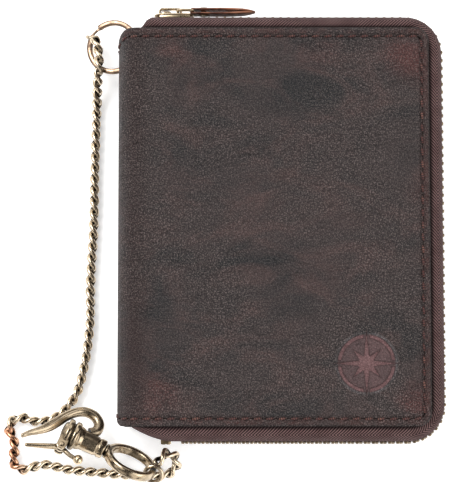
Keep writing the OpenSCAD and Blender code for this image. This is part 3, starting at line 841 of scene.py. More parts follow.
def cover_edge(left_head, left_foot):
    """The line that the tapes leave from, from the head round to the foot, with the way out."""
    r = ZIP_CORNER_R - BULGE
    cx, cy = HALF_W - r, HALF_H - r
    head, right, foot = Vector((0, 1)), Vector((1, 0)), Vector((0, -1))

    def corner(y, start, end):
        outs = [Vector((math.cos(a), math.sin(a))) for a in steps(start, end, 13)]
        return [(Vector((cx, y)) + out * r, out) for out in outs]

    line = [(Vector((x, HALF_H)), head) for x in every(left_head, cx, 1.5 * MM)]
    line += corner(cy, math.pi / 2, 0)
    line += [(Vector((HALF_W, y)), right) for y in every(cy - 2 * MM, -cy, -2 * MM)]
    line += corner(-cy, 0, -math.pi / 2)
    line += [(Vector((x, -HALF_H)), foot) for x in every(cx - 1.5 * MM, left_foot, -1.5 * MM)]
    return line + [(Vector((left_foot, -HALF_H)), foot)]


def rounded(share, power):
    """Rises from 0 to 1 in a curve that flattens towards the end."""
    return 1 - (1 - min(max(share, 0.0), 1.0)) ** power


def flip(z, front):
    return THICK - z if front else z


def zip_tape(front):
    """A cloth tape that bulges from under a cover's edge out to its teeth, and narrows at both ends."""
    profile = tape_profile()
    rows = []
    for place, out in cover_edge(TAPE_LOW.x, TAPE_FOOT):
        keep = 1.0
        if out.y < -0.99:
            keep = 0.1 + 0.9 * rounded((place.x - TAPE_FOOT) / (11.5 * MM), 1.7)
        if out.y > 0.99:
            keep = 0.15 + 0.85 * rounded((place.x - TAPE_LOW.x) / (3.4 * MM), 2.4)
        ring = []
        for line in (profile, profile[::-1]):
            for i, (reach, h) in enumerate(line):
                ahead, behind = line[min(i + 1, len(line) - 1)], line[max(i - 1, 0)]
                way = Vector((ahead[0] - behind[0], ahead[1] - behind[1])).normalized()
                reach = reach + way.y * TAPE_T / 2
                height = h - way.x * TAPE_T / 2
                spot = place + out * (reach * keep if reach > 0 else reach)
                ring.append(Vector((spot.x, spot.y, flip(height, front))))
        rows.append(ring[::-1] if front else ring)
    build = Build()
    lengths = running([Vector((a, b, 0)) for a, b in profile], False)
    vs = lengths + [lengths[-1] - v for v in lengths] + [0.0]
    build.surface(rows, vs=vs[-2::-1] + [0.0] if front else vs)
    half = "front" if front else "back"
    build.stand_for(f"zip_tape_{half}", f"zip_tape_{half}_cloth", TAPE_CLOTH, f"{half}_half", "zip_tape", 60)


def tooth(build, place, way, out, front):
    """One cast tooth, clamped over the tape's edge, with a narrower head that reaches past the middle."""
    up = -UP if front else UP
    layers = [(-1.35, 0.3, 0.75), (-1.25, 0.52, 1.0), (-0.9, 0.6, 1.1), (0.35, 0.65, 1.12), (0.75, 0.6, 1.1),
              (1.0, 0.46, 0.95), (1.25, 0.44, 0.9), (1.7, 0.42, 0.85), (1.95, 0.3, 0.7)]
    base = Vector((place.x, place.y, flip(TAPE_EDGE, front)))
    axes = (Vector((way.x, way.y, 0)), Vector((out.x, out.y, 0)), up)
    layered(build, base, axes, in_mm(layers), sides=12, squareness=4)


def tooth_places():
    """The line of the teeth, which runs along the tape's edge."""
    return Line([place + out * BULGE for place, out in cover_edge(TEETH_LEFT, TEETH_LEFT)])


def zip_teeth(front):
    line = tooth_places()
    first = 1 * MM + (4.5 * TOOTH_PITCH if front else 0.0)
    build = Build()
    for s in every(first, line.length - 4 * MM, TOOTH_PITCH):
        way = line.way(s)
        tooth(build, line.at(s), way, Vector((-way.y, way.x)), front)
    half = "front" if front else "back"
    build.stand_for(f"zip_teeth_{half}", f"zip_teeth_{half}_brass", TOOTH_BRASS, f"{half}_half", "zip_metal")


def crimp(node, body):
    """A stop bent round the tape's edge, with rounded corners and a pressed waist."""
    low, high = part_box(node)
    half = (high - low) / 2
    build = Build()
    layers = [(-1.0, 0.8, 0.8), (-0.85, 0.96, 0.96), (-0.3, 1.0, 1.0), (0.0, 0.9, 1.0), (0.3, 1.0, 1.0),
              (0.85, 0.96, 0.96), (1.0, 0.8, 0.8)]
    scaled = [(h * half.x, w * half.y, d * half.z) for h, w, d in layers]
    layered(build, (low + high) / 2, (HEAD, UP, RIGHT), scaled, squareness=6)
    build.stand_for(node, node + "_crimp", TOOTH_BRASS, body, "zip_metal")


# ---------------------------------------------------------------- slider and pull

SLIDER_LOW, SLIDER_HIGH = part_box("zip_slider")
PLATE_T = 0.7 * MM
PLATE_GAP = 2.6 * MM
TEETH_Y = HALF_H + BULGE
PLATE_LENGTH = 12 * MM
PLATE_HEIGHT = 8.4 * MM
SLIDER_MID = Vector((SLIDER_LOW.x + PLATE_LENGTH / 2, TEETH_Y, MID_Z))


def plate_outline(length, height):
    """A slider plate seen from its flat side: wide at the nose, waisted, narrower at the tail."""
    made = []
    for k in range(56):
        a = TAU * k / 56
        c, s = math.cos(a), math.sin(a)
        size = (abs(c) ** 4 + abs(s) ** 4) ** -0.25
        x, z = length / 2 * size * c, height / 2 * size * s
        made.append((x, z * (1 - 0.1 * smoothstep(x, -length * 0.1, length / 2))))
    return made


def slider_plate(build, y, out):
    """One plate with eased edges and a slight dome on its outer side."""
    rows = []
    for depth, inset in in_mm([(0.0, 0.35), (0.12, 0.1), (0.35, 0.0), (0.55, 0.12), (0.68, 0.4), (0.78, 1.4),
                               (0.84, 2.6)]):
        outline = plate_outline(PLATE_LENGTH - 2 * inset, PLATE_HEIGHT - 2 * inset)
        centre = Vector((SLIDER_MID.x, y + out * depth, MID_Z))
        rows.append(ring_at(centre, RIGHT, UP, outline[::-1] if out > 0 else outline))
    build.surface(rows)


def slider():
    """Two plates with flanges, the post between them, and the crown."""
    build = Build()
    flange_layers = in_mm([(-4.6, 0.3, 0.25), (-4.3, 0.4, 0.38), (4.3, 0.4, 0.38), (4.6, 0.3, 0.25)])
    for out in (1, -1):
        inner_y = TEETH_Y + out * PLATE_GAP / 2
        slider_plate(build, inner_y, out)
        for side in (1, -1):
            flange = Vector((SLIDER_MID.x + 0.3 * MM, inner_y - out * 0.3 * MM, MID_Z + side * 3.82 * MM))
            layered(build, flange, (HEAD, UP, RIGHT), flange_layers, sides=16)
    post = Vector((SLIDER_LOW.x + 1.7 * MM, TEETH_Y - PLATE_GAP / 2, MID_Z))
    layered(build, post, (RIGHT, UP, HEAD), [(0, 0.9 * MM, 0.95 * MM), (PLATE_GAP, 0.9 * MM, 0.95 * MM)])
    crown(build)
    build.stand_for("zip_slider", "slider_casting", SLIDER_METAL, "slider", "slider_metal")


def crown(build):
    """The strap over the slider's outer plate that holds the bail, and the locking tongue under it."""
    y0 = TEETH_Y + PLATE_GAP / 2 + PLATE_T - 0.1 * MM
    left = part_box("pull_bail")[0].x - 5 * MM
    right, top = left + 6.4 * MM, SLIDER_HIGH.y - 0.33 * MM
    bend = 0.8 * MM
    turns = steps(0.3, math.pi / 2, 5)
    side_way = [(bend * (1 - math.cos(a)), top - bend * (1 - math.sin(a))) for a in turns]
    path = [(left, y0), (left, top - bend)] + [(left + x, y) for x, y in side_way]
    path += [(right - x, y) for x, y in side_way[::-1]] + [(right, top - bend), (right, y0)]
    strap = [(b, a) for a, b in oval(1.15 * MM, 0.33 * MM, 16, 4)]
    tube(build, [Vector((x, y, MID_Z)) for x, y in path], strap, UP)
    tongue = Vector((left + 1.9 * MM, y0, MID_Z))
    layers = in_mm([(0, 1.5, 0.8), (0.9, 1.5, 0.8), (1.2, 1.3, 0.7), (1.35, 0.9, 0.5)])
    layered(build, tongue, (RIGHT, UP, HEAD), layers)


def bail():
    low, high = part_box("pull_bail")
    r = (high.y - low.y) / 2
    y = (low.y + high.y) / 2
    bend = 1.2 * MM
    x0, x1, z0, z1 = low.x + r + bend, high.x - r - bend, low.z + r + bend, high.z - r - bend
    path = []
    for cx, cz, from_turn in ((x1, z1, 0.0), (x0, z1, 0.25), (x0, z0, 0.5), (x1, z0, 0.75)):
        turns = [TAU * (from_turn + k / 24) for k in range(7)]
        path += [Vector((cx + bend * math.cos(a), y, cz + bend * math.sin(a))) for a in turns]
    build = Build()
    tube(build, path, oval(r, r, 14), HEAD, loop=True)
    build.stand_for("pull_bail", "pull_bail_wire", SLIDER_METAL, "pull", "slider_metal")


def wrapped_pull():
    """A strip folded round the bail, whose two layers close and thin to a point at the free end."""
    low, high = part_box("pull_tab")
    bail_low, bail_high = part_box("pull_bail")
    r = (bail_high.y - bail_low.y) / 2
    y, z = (low.y + high.y) / 2, (low.z + high.z) / 2
    start, tip = bail_high.x - r, high.x
    full_thick, tip_thick, half_wide = 0.25 * MM, 0.12 * MM, 2.8 * MM
    loop_r = r + full_thick
    line = [(tip - share * (tip - start), -strip_gap(share, loop_r), share) for share in steps(0.0, 1.0, 24)]
    for a in steps(0.5, 1.5, 11)[1:-1]:
        line.append((start + loop_r * math.cos(math.pi * a), -loop_r * math.sin(math.pi * a), 1.0))
    line += [(tip - share * (tip - start), strip_gap(share, loop_r), share) for share in steps(1.0, 0.0, 24)]
    path = [Vector((x, y + dy, z)) for x, dy, _ in line]
    rows = []
    for i, point in enumerate(path):
        way = (path[min(i + 1, len(path) - 1)] - path[max(i - 1, 0)]).normalized()
        share = line[i][2]
        half = half_wide * min(1.0, 0.2 + 0.8 * math.sqrt(share / 0.2))
        swollen = 1 + 0.5 * (1 - share) * (share > 0.05)
        thick = (tip_thick + (full_thick - tip_thick) * smoothstep(share, 0.0, 0.2)) * swollen
        rows.append(ring_at(point, UP, way.cross(UP).normalized(), oval(half, thick, 24, 5)))
    build = Build()
    build.surface(rows)
    build.stand_for("pull_tab", "pull_strip", pull_leather(), "pull", "pull_leather")


def strip_gap(share, loop_r):
    """Half the distance between the strip's two layers, from its tip to the bail."""
    belly = 0.35 * MM * math.sin(math.pi * min(share * 1.15, 1.0))
    return 0.14 * MM + (loop_r - 0.14 * MM) * share ** 1.6 + belly


# ---------------------------------------------------------------- ring, chain and hook

def joint_of(name):
    found = next(j for j in frame["joints"] if j["name"] == name)
    return Vector(found["pos_m"]), Vector(found["axis"]).normalized()


def frame_at(origin, x_axis, z_axis):
    """A matrix whose X and Z axes point that way."""
    y_axis = z_axis.cross(x_axis).normalized()
    z_axis = x_axis.cross(y_axis)
    made = Matrix((x_axis, y_axis, z_axis)).transposed().to_4x4()
    made.translation = origin
    return made


def split_ring():
    """Two turns of flattened wire, one on the other, that cross over where the ring opens."""
    centre, axis = joint_of("ring_turn")
    build = Build(frame_at(centre, HEAD.cross(axis), axis))
    ring_r, step = 7.5 * MM, 0.4 * MM
    opens_at = math.radians(139)
    gap = math.radians(12)
    path, outlines = [], []
    for a in steps(gap, 2 * TAU - gap, 220):
        rise = -step + 2 * step * smoothstep(a, TAU - gap * 0.9, TAU + gap * 0.9)
        turn = opens_at + a
        path.append(Vector((ring_r * math.cos(turn), ring_r * math.sin(turn), rise)))
        ends = min(a - gap, 2 * TAU - gap - a)
        crossing = 1 - smoothstep(abs(a - TAU), gap * 0.8, gap * 1.05)
        taper = 1 - 0.2 * (1 - smoothstep(ends, 0.0, 0.04)) - 0.5 * crossing
        outlines.append(oval(0.8 * MM * taper, 0.39 * MM * taper, 14, 2.6))
    tube(build, path, outlines, UP)
    build.stand_for("split_ring", "split_ring_coil", RING_METAL, "ring", "ring_metal")


# The chain's middle line in tenths of a millimetre: from the ring, down beside the spine, round the foot
# of the wallet and up to the swivel eye
ROUTE_TENTHS = [
    (-540, 586, 70), (-531, 556, 76), (-527, 526, 81), (-527, 496, 81), (-530, 464, 66),
    (-533, 430, 42), (-535, 392, 23), (-537, 346, 17), (-539, 270, 17), (-541, 180, 17),
    (-542, 90, 17), (-544, 0, 17), (-549, -88, 17), (-552, -170, 17), (-552, -256, 17),
    (-556, -314, 17), (-565, -384, 17), (-585, -470, 17), (-612, -520, 17), (-646, -554, 17),
    (-684, -570, 17), (-724, -570, 17), (-756, -563, 17), (-783, -572, 17), (-793, -596, 17),
    (-782, -626, 17), (-777, -656, 17), (-780, -684, 17), (-768, -708, 17), (-740, -714, 17),
    (-711, -705, 17), (-680, -703, 17), (-646, -710, 17), (-613, -717, 17), (-576, -721, 17),
    (-524, -726, 17), (-482, -729, 17), (-439, -732, 17), (-394, -735, 17), (-352, -736, 17),
    (-316, -730, 20), (-292, -708, 32), (-294, -680, 50), (-318, -669, 68), (-344, -695, 81)
]
ROUTE = [tuple(value / 1e4 for value in stop) for stop in ROUTE_TENTHS]
LINK_SIDES = 24
LINK_TWIST = -1.4
QUARTER_TURN = 1.57


def curb_link(build, centre, way, up):
    """One oval link, twisted along its length so that the next ones lie flat in it."""
    half_l = (LINK_PITCH + LINK_WIRE) / 2
    half_w = (LINK_WIDTH - LINK_WIRE) / 2
    side = up.cross(way).normalized()
    up = way.cross(side)
    path = []
    for a in [TAU * k / LINK_SIDES for k in range(LINK_SIDES)]:
        x = half_l * math.cos(a)
        y = half_w * math.copysign(abs(math.sin(a)) ** 0.6, math.sin(a))
        turn = LINK_TWIST * x / half_l
        path.append(centre + way * x + side * (0.8 * y * math.cos(turn)) + up * (y * math.sin(turn)))
    outline = oval(LINK_WIRE / 2, LINK_WIRE / 2, 10)
    rows = []
    for i, point in enumerate(path):
        ahead = (path[(i + 1) % LINK_SIDES] - path[i - 1]).normalized()
        inward = (centre - point - ahead * (centre - point).dot(ahead)).normalized()
        rows.append(ring_at(point, inward, inward.cross(ahead), outline))
    build.surface(rows, loop=True)


def curb_chain():
    line = Line(spline(ROUTE, 0.6 * MM))
    build = Build()
    count = int(line.length / LINK_PITCH)
    pitch = line.length / count
    for k in range(count):
        s = (k + 0.5) * pitch
        way = line.way(s, 1.2 * MM)
        roll = QUARTER_TURN + 0.22 * math.sin(s / (9 * MM)) + 0.12 * math.sin(s / (3.1 * MM) + 1)
        side = way.cross(UP).normalized()
        up = (side.cross(way) * math.cos(roll) + side * math.sin(roll)).normalized()
        curb_link(build, line.at(s), way, up)
    return build.stand_for("chain", "curb_chain", CHAIN_BRASS, "back_half", "chain_metal"), line


HOOK_AT, HOOK_WAY = joint_of("hook_swivel")
EYE_ROLL = math.radians(66)
CLAW_ROLL = math.radians(28)


def hook_frame(roll):
    """The hook's own frame: X along its swivel axis, rolled about it."""
    level = UP.cross(HOOK_WAY).normalized()
    rise = HOOK_WAY.cross(level)
    z_axis = rise * math.cos(roll) - level * math.sin(roll)
    return frame_at(HOOK_AT, HOOK_WAY, z_axis)


def swivel_eye():
    build = Build(hook_frame(EYE_ROLL))
    eye_r = 7.2 * MM
    turns = steps(0, TAU, 73)[:-1]
    path = [Vector((eye_r * math.cos(a), eye_r * math.sin(a), 0)) for a in turns]
    necks = [max(0.0, math.cos(TAU * k / 72)) ** 6 for k in range(72)]
    tube(build, path, [oval((1.0 + 0.35 * neck) * MM, 1.45 * MM, 20, 3) for neck in necks], UP, loop=True)
    stem = [(7.4, 2.0), (8.0, 2.3), (8.35, 2.1), (8.5, 1.5), (13.9, 1.5), (14.1, 2.05), (15.1, 2.05),
            (15.2, 0.3)]
    lathe(build, in_mm(stem), sides=32)
    hook_piece(build, "swivel_eye_casting", "back_half", "swivel_eye")


def hook_piece(build, name, body, node, material=None, slot="hook_metal", sharp=45):
    build.stand_for(node, name, material or HOOK_BRASS, body, slot, sharp)


def hook_barrel():
    build = Build(hook_frame(CLAW_ROLL))
    profile = [(8.6, 1.56), (8.6, 2.5), (8.95, 2.85), (10.4, 2.9), (10.6, 2.65), (11.0, 2.65), (11.2, 2.9),
               (15.8, 3.05), (16.6, 3.5), (17.4, 3.6), (17.6, 4.1), (18.0, 4.4), (18.8, 4.4), (19.2, 4.1),
               (19.3, 3.5), (19.7, 3.5), (19.8, 4.1), (20.2, 4.4), (21.0, 4.4), (21.4, 4.1), (21.5, 3.2),
               (22.2, 2.7), (22.5, 1.6), (22.6, 0.2)]
    lathe(build, in_mm(profile), sides=56, smooth=0.2 * MM)
    for side in (1, -1):
        lug = Vector((GATE_PIVOT[0], GATE_PIVOT[1] - 0.9 * MM, side * 1.8 * MM))
        layers = in_mm([(-0.52, 1.35, 2.2), (-0.42, 1.5, 2.4), (0.42, 1.5, 2.4), (0.52, 1.35, 2.2)])
        layered(build, lug, (RIGHT, HEAD, UP), layers, sides=28, squareness=3)
    hook_piece(build, "hook_barrel_casting", "hook", "hook_barrel")


JAW = [(14.6, -3.0), (13.0, -4.6), (13.2, -7.0), (15.2, -8.7), (18.0, -8.9), (20.8, -7.4), (23.2, -4.6),
       (25.0, -1.6), (26.8, 1.2), (28.8, 3.4), (30.8, 5.2), (32.8, 7.4)]
GATE_PIVOT = (20.9 * MM, 5.2 * MM)
GATE_TIP = (30.2 * MM, 9.2 * MM)
KNOB_AT = (14.6 * MM, 7.0 * MM)


def hook_jaw():
    """The jaw's rod, which widens into a flat blade with a ridge and narrows again at its tip."""
    build = Build(hook_frame(CLAW_ROLL))
    path = spline([(*p, 0) for p in in_mm(JAW)], 0.5 * MM)
    rows = []
    last = len(path) - 1
    for i, point in enumerate(path):
        share = i / last
        blade = smoothstep(share, 0.45, 0.72) * (1 - smoothstep(share, 0.7, 0.92))
        wide = (1.6 - 0.15 * smoothstep(share, 0.1, 0.5) - 0.85 * share ** 4 + 0.3 * blade) * MM
        deep = (1.6 - 0.2 * blade - 0.8 * share ** 3) * MM
        if i == last:
            wide, deep = wide * 0.6, deep * 0.6
        way = (path[min(i + 1, last)] - path[max(i - 1, 0)]).normalized()
        side = way.cross(UP).normalized()
        outline = []
        for k in range(32):
            a = TAU * k / 32
            groove = 0.0
            for place in (0.38, 0.66):
                groove += (0.28 + 0.2 * blade) * math.exp(-((a / math.pi - place) / 0.07) ** 2)
            keep = 1 - groove * smoothstep(share, 0.25, 0.45) * (1 - smoothstep(share, 0.9, 1.0))
            outline.append((wide * math.cos(a), deep * keep * math.sin(a)))
        rows.append(ring_at(point, side, UP, outline))
    build.surface(rows)
    hook_piece(build, "hook_jaw_casting", "hook", "hook_jaw")


def gate():
    """The lever: a hub on the pin, an arm to the jaw's tip and a tail to the thumb knob."""
    build = Build(hook_frame(CLAW_ROLL))
    pivot, tip, knob_at = Vector((*GATE_PIVOT, 0)), Vector((*GATE_TIP, 0)), Vector((*KNOB_AT, 0))
    discs(build, pivot, in_mm([(-0.5, 1.3), (-0.4, 1.5), (0.4, 1.5), (0.5, 1.3)]), 32)
    hub_r = 1.1 * MM
    reach, tail = (tip - pivot).normalized(), (knob_at - pivot).normalized()
    arm = [pivot + reach * hub_r, pivot.lerp(tip, 0.5), tip]
    round_rod(build, arm, [0.95 * MM, 0.85 * MM, 0.62 * MM], UP, 18)
    bow = Vector((0, 0.3 * MM, 0.2 * MM))
    arm = [pivot + tail * hub_r, pivot.lerp(knob_at, 0.55) + bow, knob_at + UP * 0.5 * MM]
    round_rod(build, arm, [0.78 * MM, 0.7 * MM, 0.65 * MM], UP)
    hook_piece(build, "gate_lever", "gate", "hook_gate")


def knob():
    """A ball on a short neck, for the thumb."""
    build = Build(hook_frame(CLAW_ROLL))
    r = 1.45 * MM
    turns = [a * math.pi for a in steps(-0.46, 0.49, 18)]
    discs(build, Vector((*KNOB_AT, 0.9 * MM)), [(r * math.sin(a), r * math.cos(a)) for a in turns], 28)
    hook_piece(build, "thumb_knob_ball", "gate", "thumb_knob", SLIDER_METAL)


def pin_and_spring():
    """The gate's rivet, and a coil round it on each side of the lever."""
    build = Build(hook_frame(CLAW_ROLL))
    pivot = Vector((*GATE_PIVOT, 0))
    half = [(2.3, 0.58), (2.35, 0.8), (2.5, 0.75), (2.62, 0.4)]
    discs(build, pivot, in_mm([(-h, r) for h, r in half[::-1]] + half), 24)
    hook_piece(build, "gate_pin_rivet", "hook", "gate_pin")
    coil = Build(hook_frame(CLAW_ROLL))
    coil_r, wire_r, whole = 1.02 * MM, 0.12 * MM, 2.5 * TAU
    for side in (-1, 1):
        path = []
        for a in steps(0, whole, 60):
            height = side * (0.62 + 0.26 * a / whole * 2) * MM
            path.append(pivot + Vector((coil_r * math.cos(a), coil_r * math.sin(a), height)))
        tube(coil, path, oval(wire_r, wire_r, 8), UP)
    hook_piece(coil, "gate_spring_coil", "hook", "gate_spring", STEEL, "spring_steel", 40)


# ---------------------------------------------------------------- pockets and linings

SEAM_PITCH = 3 * MM
SEAM_INSET = 1.9 * MM
SEAM_FROM_TOP = 1.2 * MM
SEAM_SUNK = 0.14 * MM


def panel_dip(x, y, low, high, top_open):
    """How far a panel's face lies below its highest level, from its edges, creases, seams and waves."""
    side_gap = min(x - low.x, high.x - x)
    top_gap, foot_gap = high.y - y, y - low.y
    edge = min(side_gap, top_gap, foot_gap)
    dip = 0.3 * (1 - smoothstep(edge, 0.0, 0.7 * MM))
    if top_open:
        dip += 0.22 * math.exp(-((top_gap - 2.3 * MM) / (0.4 * MM)) ** 2)
        dip -= 0.3 * smoothstep(top_gap, 0.0, 0.6 * MM) * (1 - smoothstep(top_gap, 1.2 * MM, 2 * MM))
    sewn = min(side_gap, foot_gap if top_open else edge)
    dip += 0.14 * math.exp(-((sewn - SEAM_INSET) / (0.5 * MM)) ** 2)
    slack = smoothstep(sewn, 3 * MM, 14 * MM)
    wave = math.sin(x / (9 * MM) + 2 * math.sin(y / (23 * MM))) * math.sin(y / (13 * MM) + x / (31 * MM))
    return (dip + slack * (0.1 + 0.1 * wave)) * MM


def panel_piece(node, body, material, slot, face, channel=None, top_open=True):
    """A thin leather or cloth panel in a node's box. Its worked face looks along +Z or -Z."""
    low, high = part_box(node)
    corner, rim = 1.5 * MM, 4 * MM
    stations = []
    for axis in (0, 1):
        a, b = low[axis], high[axis]
        dense = [(a, a + rim, 0.35 * MM), (b - rim, b, 0.35 * MM)]
        if channel:
            dense += [(c[axis] - 0.4 * MM, c[axis] + 0.4 * MM, 0.1 * MM) for c in channel]
        stations.append(spread_between(a, b, 1.8 * MM, dense))
    xs, ys = stations
    mid_x, half = (low.x + high.x) / 2, (high.x - low.x) / 2
    build, rows = Build(), []
    for y in ys:
        past = max(low.y + corner - y, y - high.y + corner, 0.0)
        narrow = (half - corner + math.sqrt(max(corner ** 2 - past ** 2, 0.0))) / half
        worked, flat = [], []
        for x in xs:
            dip = panel_dip(x, y, low, high, top_open)
            if channel:
                inside = min(x - channel[0].x, channel[1].x - x, y - channel[0].y, channel[1].y - y)
                dip += (high.z - low.z - 0.7 * MM) * smoothstep(inside, -0.25 * MM, 0.15 * MM)
            across = mid_x + (x - mid_x) * narrow
            worked.append(Vector((across, y, (high.z - dip) if face > 0 else (low.z + dip))))
            flat.append(Vector((across, y, low.z if face > 0 else high.z)))
        rows.append(worked[::-1] + flat if face > 0 else flat[::-1] + worked)
    build.surface(rows, us=ys)
    build.stand_for(node, node + "_panel", material, body, slot, sharp=60)


def panel_seam(build, route, level, face):
    """A row of stitches along a polyline on a flat panel."""
    line = Line([Vector(corner) for corner in route])
    count = round(line.length / SEAM_PITCH)
    shares = steps(0.0, 1.0, 7)
    for k in range(count):
        path = []
        for t in shares:
            flat = line.at((k + 0.18 + 0.64 * t) * line.length / count)
            path.append(Vector((flat.x, flat.y, level + face * (0.34 * math.sin(math.pi * t) - 0.22) * MM)))
        round_rod(build, path, [(0.14 + 0.1 * math.sin(math.pi * t)) * MM for t in shares], UP, sides=8)


def pocket(node, material, seams, channel=None):
    """A pocket of the back half, sewn down its sides and along its foot."""
    panel_piece(node, "back_half", material, "pocket_leather", 1, channel)
    low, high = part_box(node)
    left, right = low.x + SEAM_INSET, high.x - SEAM_INSET
    foot, top = low.y + SEAM_INSET, high.y - SEAM_FROM_TOP
    panel_seam(seams, [(left, top), (left, foot), (right, foot), (right, top)], high.z - SEAM_SUNK, 1)


def coin_zip(cloth):
    """Two narrow tapes with a row of small teeth, in the coin pocket's channel."""
    low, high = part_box("coin_zip")
    mid_y = (low.y + high.y) / 2
    tape, teeth = Build(), Build()
    outline = oval(0.72 * MM, 0.16 * MM, 12, 5)
    for side in (-1, 1):
        y, z = mid_y + side * 0.78 * MM, low.z + 0.3 * MM
        tape.surface([ring_at(Vector((x, y, z)), HEAD, UP, outline) for x in every(low.x, high.x, 1 * MM)])
    layers = in_mm([(-0.34, 0.34, 0.85), (0.2, 0.36, 0.85), (0.4, 0.24, 0.7)])
    for k, x in enumerate(every(low.x + 0.9 * MM, high.x - 0.9 * MM, 1.1 * MM)):
        place = Vector((x, mid_y + (0.45 if k % 2 else -0.45) * MM, low.z + 0.72 * MM))
        layered(teeth, place, (RIGHT, HEAD, UP), layers, sides=14, squareness=4)
    teeth.stand_for("coin_zip", "coin_zip_teeth", TOOTH_BRASS, "back_half", "zip_metal")
    tape.make("coin_zip_tape", cloth, "back_half")


def interior():
    leather, cloth, sewing = inner_leather(), lining_cloth(), inner_thread()
    panel_piece("back_lining", "back_half", cloth, "lining", 1, top_open=False)
    panel_piece("front_lining", "front_half", cloth, "lining", -1, top_open=False)
    seams = Build()
    pocket("note_pocket", leather, seams)
    zip_low, zip_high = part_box("coin_zip")
    margin = Vector((0.2 * MM, 0.2 * MM, 0))
    pocket("coin_pocket", leather, seams, (zip_low - margin, zip_high + margin))
    seams.make("pocket_stitching_back", sewing, "back_half")
    coin_zip(cloth)
    seams = Build()
    for k in range(1, 5):
        panel_piece(f"card_pocket_{k}", "front_half", leather, "pocket_leather", -1)
        low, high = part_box(f"card_pocket_{k}")
        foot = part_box(f"card_pocket_{k + 1}")[1].y if k < 4 else low.y + SEAM_INSET
        level = low.z + SEAM_SUNK
        for x in (low.x + SEAM_INSET, high.x - SEAM_INSET):
            panel_seam(seams, [(x, high.y - SEAM_FROM_TOP), (x, foot)], level, -1)
    panel_seam(seams, [(low.x + 4 * MM, foot), (high.x - 4 * MM, foot)], level, -1)
    seams.make("pocket_stitching_front", sewing, "front_half")


# ---------------------------------------------------------------- camera, light and floor

CAMERA_AIM = Vector((-13.3 * MM, -4.75 * MM, THICK))
CAMERA_DISTANCE = 0.625
CAMERA_RISE = math.radians(84.5)
CAMERA_FIELD = 141.35 * MM


def camera():
    back = Vector((0, -math.cos(CAMERA_RISE), math.sin(CAMERA_RISE)))
    data = bpy.data.cameras.new("camera")
    made = bpy.data.objects.new("camera", data)
    bpy.context.scene.collection.objects.link(made)
    made.location = CAMERA_AIM + back * CAMERA_DISTANCE
    made.rotation_euler = (-back).to_track_quat("-Z", "Y").to_euler()
    data.lens = data.sensor_width / 2 / (CAMERA_FIELD / 2 / CAMERA_DISTANCE)
    data.clip_start, data.clip_end = 0.01, 20
    bpy.context.scene.camera = made


def area_light(name, place, size, power):
    """A square lamp that faces the wallet."""
    data = bpy.data.lights.new(name, "AREA")
    data.shape = "RECTANGLE"
    data.size = data.size_y = size
    data.energy = power
    made = bpy.data.objects.new(name, data)
    made.location = place
    made.rotation_euler = (-Vector(place)).to_track_quat("-Z", "Y").to_euler()
    bpy.context.scene.collection.objects.link(made)


def floor():
    build = Build()
    half, z = 3.0, -0.6 * MM
    build.surface([[Vector((-half, half, z)), Vector((half, half, z))],
                   [Vector((-half, -half, z)), Vector((half, -half, z))]], wrap=False)
    s = Shader("floor_white", Roughness=0.9, Specular_IOR_Level=0.1, Emission_Color=(1, 1, 1, 1),
               Emission_Strength=0.35)
    paper = s.noise(s.place(), 2 * MM, 3.0, 0.6)
    white = s.mix(paper, rgb(250, 250, 250), rgb(253, 253, 253))
    build.make("floor", s.finish(Base_Color=white))


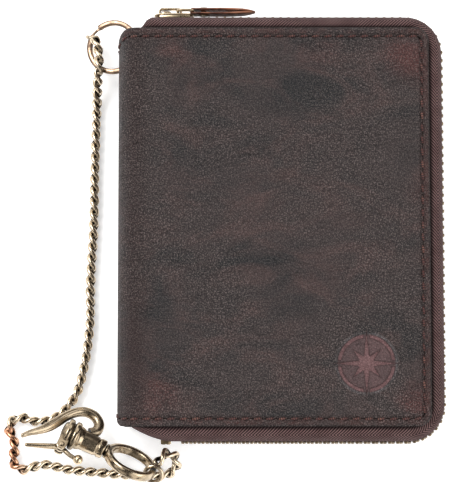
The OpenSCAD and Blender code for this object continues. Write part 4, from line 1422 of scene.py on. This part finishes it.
def studio():
    """A white world, whose reflections in the metal alternate between light and dark panels."""
    floor()
    world = bpy.data.worlds.new("studio")
    world.use_nodes = True
    tree = world.node_tree
    background = tree.nodes["Background"]
    background.inputs["Strength"].default_value = 0.85
    coord, panels, dark, ray, pick = (tree.nodes.new("ShaderNode" + kind) for kind in (
        "TexCoord", "TexNoise", "ValToRGB", "LightPath", "Mix"))
    panels.inputs["Scale"].default_value = 1.7
    panels.inputs["Detail"].default_value = 1.0
    ramp = ((0.46, (0.015, 0.013, 0.012, 1)), (0.56, (1.5, 1.45, 1.38, 1)))
    for element, (position, colour) in zip(dark.color_ramp.elements, ramp):
        element.position, element.color = position, colour
    pick.data_type = "RGBA"
    pick.inputs[6].default_value = (1, 1, 1, 1)
    for output, socket in ((coord.outputs["Generated"], panels.inputs["Vector"]),
                           (panels.outputs["Fac"], dark.inputs["Fac"]),
                           (ray.outputs["Is Glossy Ray"], pick.inputs[0]),
                           (dark.outputs["Color"], pick.inputs[7]),
                           (pick.outputs[2], background.inputs["Color"])):
        tree.links.new(output, socket)
    bpy.context.scene.world = world
    area_light("key", (-0.55, 0.45, 0.9), 0.6, 9.0)
    area_light("fill", (0.8, -0.5, 0.8), 0.9, 6.0)
    bpy.context.scene.view_settings.view_transform = "Standard"


# ---------------------------------------------------------------- making

camera()
CHAIN_BRASS = chain_brass()
TAPE_CLOTH = zip_cloth()
TOOTH_BRASS = metal("zip_brass", rgb(160, 142, 114), rgb(34, 26, 21), 0.3, 0.7, 1.4 * MM)
SLIDER_METAL = metal("slider_gold", rgb(220, 200, 168), rgb(84, 64, 46), 0.24, 0.6, 0.6 * MM)
RING_METAL = metal("ring_bronze", rgb(184, 156, 132), rgb(46, 32, 25), 0.22, 0.85, 0.6 * MM)
HOOK_BRASS = metal("hook_brass", rgb(192, 174, 148), rgb(24, 20, 18), 0.19, 0.6, 4 * MM)
STEEL = metal("spring_steel", rgb(176, 176, 172), rgb(70, 68, 64), 0.28, 0.3)

chain, chain_line = curb_chain()
swivel_eye()
hook_barrel()
hook_jaw()
gate()
knob()
pin_and_spring()

shell = leather_shell()
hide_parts("back_cover", "spine", "spine_fold", "front_cover")
bend_over_fold(shell)
for seam_piece in stitching():
    bend_over_fold(seam_piece)
for on_front in (False, True):
    zip_tape(on_front)
    zip_teeth(on_front)
crimp("zip_stop_back", "back_half")
crimp("zip_bottom_stop", "back_half")
crimp("zip_stop_front", "front_half")
slider()
bail()
wrapped_pull()
split_ring()

interior()

board = fibre_board()
LINK_METAL = metal("link_brass", rgb(224, 206, 180), rgb(16, 12, 10), 0.22, 0.6, 1.5 * MM)
NODE_MATERIALS = {"back_board": board, "front_board": board, "eyelet": RING_METAL, "pull_rivet": TOOTH_BRASS,
                  "chain_link_top": LINK_METAL, "chain_link_end": LINK_METAL,
                  "coin_slider": SLIDER_METAL, "coin_pull": SLIDER_METAL}
for node_name, finish in NODE_MATERIALS.items():
    mesh = frame["nodes"][node_name].data
    mesh.materials.clear()
    mesh.materials.append(finish)

studio()
